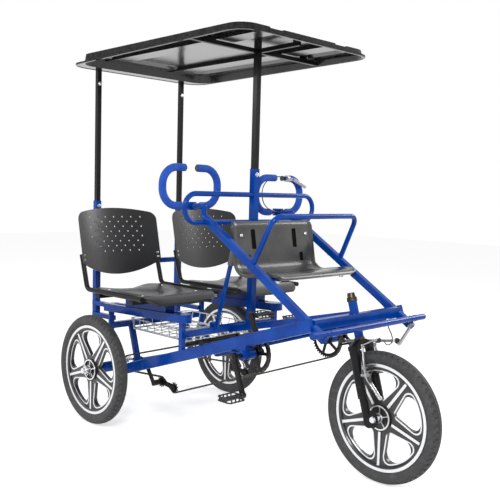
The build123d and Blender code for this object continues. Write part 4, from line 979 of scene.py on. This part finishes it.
run_top = under_column(-0.01)
down_column = [run_top, under_column(0.2), under_column(0.44), under_column(0.5) + column_under * 0.004,
               (0.53, 0.24, 0.596), (0.543, 0.215, 0.596), cable_start]
run = bmesh.new()
swept(run, route(down_column, 12), cable_radius, 10)
new_piece("brake_cable_run", run, "frame", cable_black)
ties = bmesh.new()
for x in (0.03, 0.17, 0.31, 0.45):
    turned(ties, [(-0.003, 0), (-0.003, 0.004), (0.003, 0.004), (0.003, 0)], under_column(x),
           column_down, 14)
new_piece("brake_cable_ties", ties, "frame", moulded_black)
stem_at = Vector((-0.139, 0.266, 1.012))
upper = [(-0.142, 0.318, 1.177), (-0.148, 0.29, 1.18), (-0.15, 0.23, 1.179), (-0.15, 0.172, 1.15),
         (-0.15, 0.15, 1.102), (-0.15, 0.168, 1.042), (-0.145, 0.226, 1.013), stem_at,
         (-0.1, 0.27, 0.996), (-0.05, 0.275, 0.97), run_top]
upper_cable = bmesh.new()
swept(upper_cable, route(upper, 12), cable_radius, 10)
upper_piece = new_piece("brake_cable_upper", upper_cable, None, cable_black)
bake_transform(upper_piece)
clip = bmesh.new()
turned(clip, [(0, 0), (0, 0.0048), (0.01, 0.0048), (0.012, 0.0034), (0.012, 0)], cable_start,
       (0, 0, -1), 16)
new_piece("brake_cable_ferrule", clip, "frame", bright_steel)

# Steering linkage: a plated drop arm clamped on the left column shaft, and a turned rod with a
# greased ball joint in a rubber boot at each end, locked by a nut part way along.
coat(forged, "pitman_arm", "brake_lever")
rod_steel = speckled("rod_steel", (130, 4), (104, 104, 106), (134, 134, 136), (0.3, 0.15), (0.00006, 0.5),
                     Metallic=0.9)
coat(rod_steel, "tie_rod")
swing_at, swing_axis = pivots["tie_rod_swing"], axes["tie_rod_swing"]
front_eye = min((swing_at + swing_axis * way * 0.016 for way in (-1, 1)), key=lambda place: place.x)
rear_eye = on_fork(0.311, -0.09)
along_rod = (rear_eye - front_eye).normalized()
boots = bmesh.new()
for eye, axis in ((front_eye, swing_axis), (rear_eye, up)):
    pin = axis if axis.z > 0 else -axis
    turned(boots, [(-0.0095, 0), (-0.0095, 0.0085), (-0.006, 0.0122), (0, 0.0128), (0.005, 0.0118),
                   (0.0075, 0.008), (0.0115, 0.0066), (0.0115, 0)], eye, pin, 20)
turned(boots, [(-0.01, 0), (-0.01, 0.0082), (-0.008, 0.0092), (0.008, 0.0092), (0.01, 0.0082), (0.01, 0)],
       front_eye.lerp(rear_eye, 0.36), along_rod, 20)
new_piece("tie_rod_boots", boots, "tie_rod", rubber)
locks = bmesh.new()
for share in (0.07, 0.93):
    hex_fastener(locks, front_eye.lerp(rear_eye, share), along_rod, 0.0185, 0.007, False)
new_piece("tie_rod_locknuts", locks, "tie_rod", bright_steel)

# The headset is closed by an adjusting race, a lock nut and a cap with six notches. All are
# tarnished bronze, screwed down on the fork's steerer.
bronze = speckled("bronze_cap", (90, 5), (88, 80, 68), (48, 44, 40), (0.3, 0.25), (0.0001, 0.5), (0.35, 0.7),
                  Metallic=0.9)
race_top = 0.4725
cap, race = bmesh.new(), bmesh.new()
coat(bronze, "headset")
turned(race, [(0, 0), (0, 0.0204), (0.002, 0.0214), (0.005, 0.0214), (0.007, 0.0204), (0.007, 0)],
       on_fork(race_top - 0.0165, 0), up, 32)
turned(race, [(0, 0), (0, 0.0108), (0.0016, 0.0116), (0.0032, 0.0108), (0.0032, 0)],
       on_fork(race_top + 0.014, 0), up, 24)
new_piece("headset_locknut", race, "fork", bronze)
cone(cap, 24, 0.0165, 0.015, 0.016, placed(on_fork(race_top + 0.008, 0), up))
walls = [face for face in cap.faces if abs(face.normal.dot(up)) < 0.1]
notched = [face for index, face in enumerate(walls) if index % 4 == 0]
bmesh.ops.inset_individual(cap, faces=notched, thickness=0.0004, depth=-0.0035)
top = [face for face in cap.faces if face.normal.dot(up) > 0.9]
bmesh.ops.inset_region(cap, faces=top, thickness=0.0028, depth=0.0018)
new_piece("headset_cap", cap, "fork", bronze)

# Foam sleeves cover each half of both ring handlebars: closed cell foam, pushed on and glued, with
# soft rounded ends. A black moulded plug closes each free end of the bent tube.
foam = Finish("grip_foam", Specular_IOR_Level=0.2, Sheen_Weight=0.15)
pores = foam.cells(1300)
mottle = foam.smooth(foam.noise(40, 4), 0.35, 0.7)
soot = foam.smooth(foam.noise(9, 4), 0.5, 0.8)
tone = foam.mix(mottle, colour(30, 78, 176), colour(40, 90, 190))
foam.feed("Base Color", foam.mix(soot * 0.25, tone, colour(24, 56, 140)))
foam.feed("Roughness", mottle * 0.1 + 0.78)
foam.bump(pores + mottle * 0.6, 0.0004, 0.6)
foam_radius, bar_bend, foam_stop = 0.0165, 0.074, 0.052
tip_radii, tip_steps = [0.0136, 0.0155], (0.0012, 0.0045)
arc = [(math.sin(math.radians(angle)), math.cos(math.radians(angle))) for angle in range(0, 91, 6)]
# where the foam starts, by side and wing, and where the tube ends, by side, from the ring's middle
free_ends = {("right", -1): 0.033, ("right", 1): 0.033, ("left", -1): 0.023, ("left", 1): 0.0745}
tube_ends, ring_x = {"right": 0.033, "left": 0.023}, -0.158
riders = {"left": "left_handlebar", "right": "frame"}
for side, sign in sides.items():
    low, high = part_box(f"{side}_grips")
    middle = (low + high) / 2
    tall, wide = (high.z - low.z) / 2 - foam_radius, 0.153
    corner, turn_at = wide - bar_bend, tall - bar_bend
    sleeve = bmesh.new()
    for wing in (-1, 1):
        start = free_ends[side, wing]
        line = [(start, tall), *[(start + step, tall) for step in tip_steps]]
        if corner - start > 0.012:
            line += [((start + corner) / 2 + 0.002, tall)]
        line += [(corner + bar_bend * sin, turn_at + bar_bend * cos) for sin, cos in arc[1:]]
        line += [(corner + bar_bend * cos, -turn_at - bar_bend * sin) for sin, cos in arc]
        line += [*[(foam_stop + step, -tall) for step in reversed(tip_steps)], (foam_stop, -tall)]
        radii = tip_radii + [foam_radius] * (len(line) - 4) + tip_radii[::-1]
        path = [Vector((middle.x, sign * column_y + wing * out, middle.z + rise)) for out, rise in line]
        swept(sleeve, path, radii, 24, 1, (1, 0, 0))
    grips = new_piece(f"{side}_foam_grips", sleeve, riders[side], foam)
    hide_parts(f"{side}_grips")
for side, rider in riders.items():
    plugs = bmesh.new()
    bar_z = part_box(f"{side}_grips")[1].z - foam_radius
    for wing in (-1, 1):
        turned(plugs, [(0, 0), (0, 0.0128), (0.0018, 0.0128), (0.003, 0.0112), (0.003, 0)],
               (ring_x, sides[side] * column_y + wing * tube_ends[side], bar_z), (0, -wing, 0), 24)
    new_piece(f"{side}_bar_plugs", plugs, rider, moulded_black)

# The basket between the seats is welded steel wire, dipped in white plastic that yellows a little.
# The parking lever beside it ends in a grey moulded grip.
wire_white = speckled("basket_wire", (14, 4), (226, 228, 231), (196, 198, 200), (0.3, 0.15), (0.0001, 0.4),
                      (0.4, 0.75), (500, 2), Coat_Weight=0.25)
coat(wire_white, "basket")
grip_plastic = moulded("lever_grip", colour(110, 110, 112), colour(88, 88, 90), 480, 0.4, 0.1)
coat(grip_plastic, "parking_lever_grip")


# Studio: a pale floor that runs up to white, soft lamps either side, and a camera at head height
# off the front right corner.
camera_data = bpy.data.cameras.new("view_camera")
camera_data.lens, camera_data.sensor_width, camera_data.sensor_fit = 53.43, 36, "HORIZONTAL"
camera_data.clip_end = 60
camera = linked("view_camera", camera_data)
yaw, pitch, roll = math.radians(135.05), math.radians(-4.45), math.radians(1.51)
ahead = Vector((math.cos(yaw) * math.cos(pitch), math.sin(yaw) * math.cos(pitch), math.sin(pitch)))
level_right = Vector((math.sin(yaw), -math.cos(yaw), 0))
level_up = level_right.cross(ahead)
tilted_right = math.cos(roll) * level_right + math.sin(roll) * level_up
tilted_up = math.cos(roll) * level_up - math.sin(roll) * level_right
camera.matrix_world = oriented((2.2815, -2.342, 1.1015), tilted_right, tilted_up, -ahead)
bpy.context.scene.camera = camera

world = bpy.data.worlds.new("studio")
bpy.context.scene.world = world
world.use_nodes = True
sky, surroundings = world.node_tree.nodes["Background"], Graph(world.node_tree)


def seen_by(graph, *kinds):
    """1 for rays of any of these kinds, else 0."""
    rays = [graph.node("ShaderNodeLightPath", {}, output=f"Is {kind} Ray") for kind in kinds]
    seen = rays.pop()
    while rays:
        seen = rays.pop().math("MAXIMUM", seen)
    return seen


seen = seen_by(surroundings, "Camera", "Glossy", "Transmission")
surroundings.fill(sky.inputs["Color"], (1, 1, 1, 1))
strength = surroundings.node("ShaderNodeMapRange", {}, seen, 0, 1, 0.5, 1)
surroundings.fill(sky.inputs["Strength"], strength)

for name, place, aim, size, power in (("key_lamp", (3.2, -3.4, 3.6), 0.7, 1.4, 150),
                                      ("fill_lamp", (-2.6, -3.6, 2.6), 0.8, 2, 60),
                                      ("far_lamp", (1.5, 4, 3), 0.9, 1.8, 80)):
    data = bpy.data.lights.new(name, "AREA")
    data.shape, data.size, data.energy = "DISK", size, power
    lamp = linked(name, data)
    lamp.location = place
    lamp.rotation_euler = (Vector((0, 0, aim)) - Vector(place)).to_track_quat("-Z", "Y").to_euler()

floor_mesh = bmesh.new()
bmesh.ops.create_grid(floor_mesh, x_segments=1, y_segments=1, size=14,
                      matrix=Matrix.Translation((0, 0, -0.001)))
floor = linked("floor", mesh_data("floor", floor_mesh))
white = Finish("floor_white", Specular_IOR_Level=0)
paper = white.noise(40, 4)
white.feed("Base Color", white.mix(paper, (0.8, 0.8, 0.8, 1), (0.82, 0.82, 0.82, 1)))
white.feed("Roughness", paper * 0.1 + 0.85)
plain = Value(white, white.shader.outputs[0])
lit = white.node("ShaderNodeAddShader", {}, plain, white.node("ShaderNodeEmission", {}, (1, 1, 1, 1), 0.55))
choice = white.node("ShaderNodeMixShader", {}, seen_by(white, "Camera", "Glossy"), plain, lit)
white.fill(white.tree.nodes["Material Output"].inputs["Surface"], choice)
coat(white, "floor")

bpy.context.scene.view_settings.view_transform = "Standard"
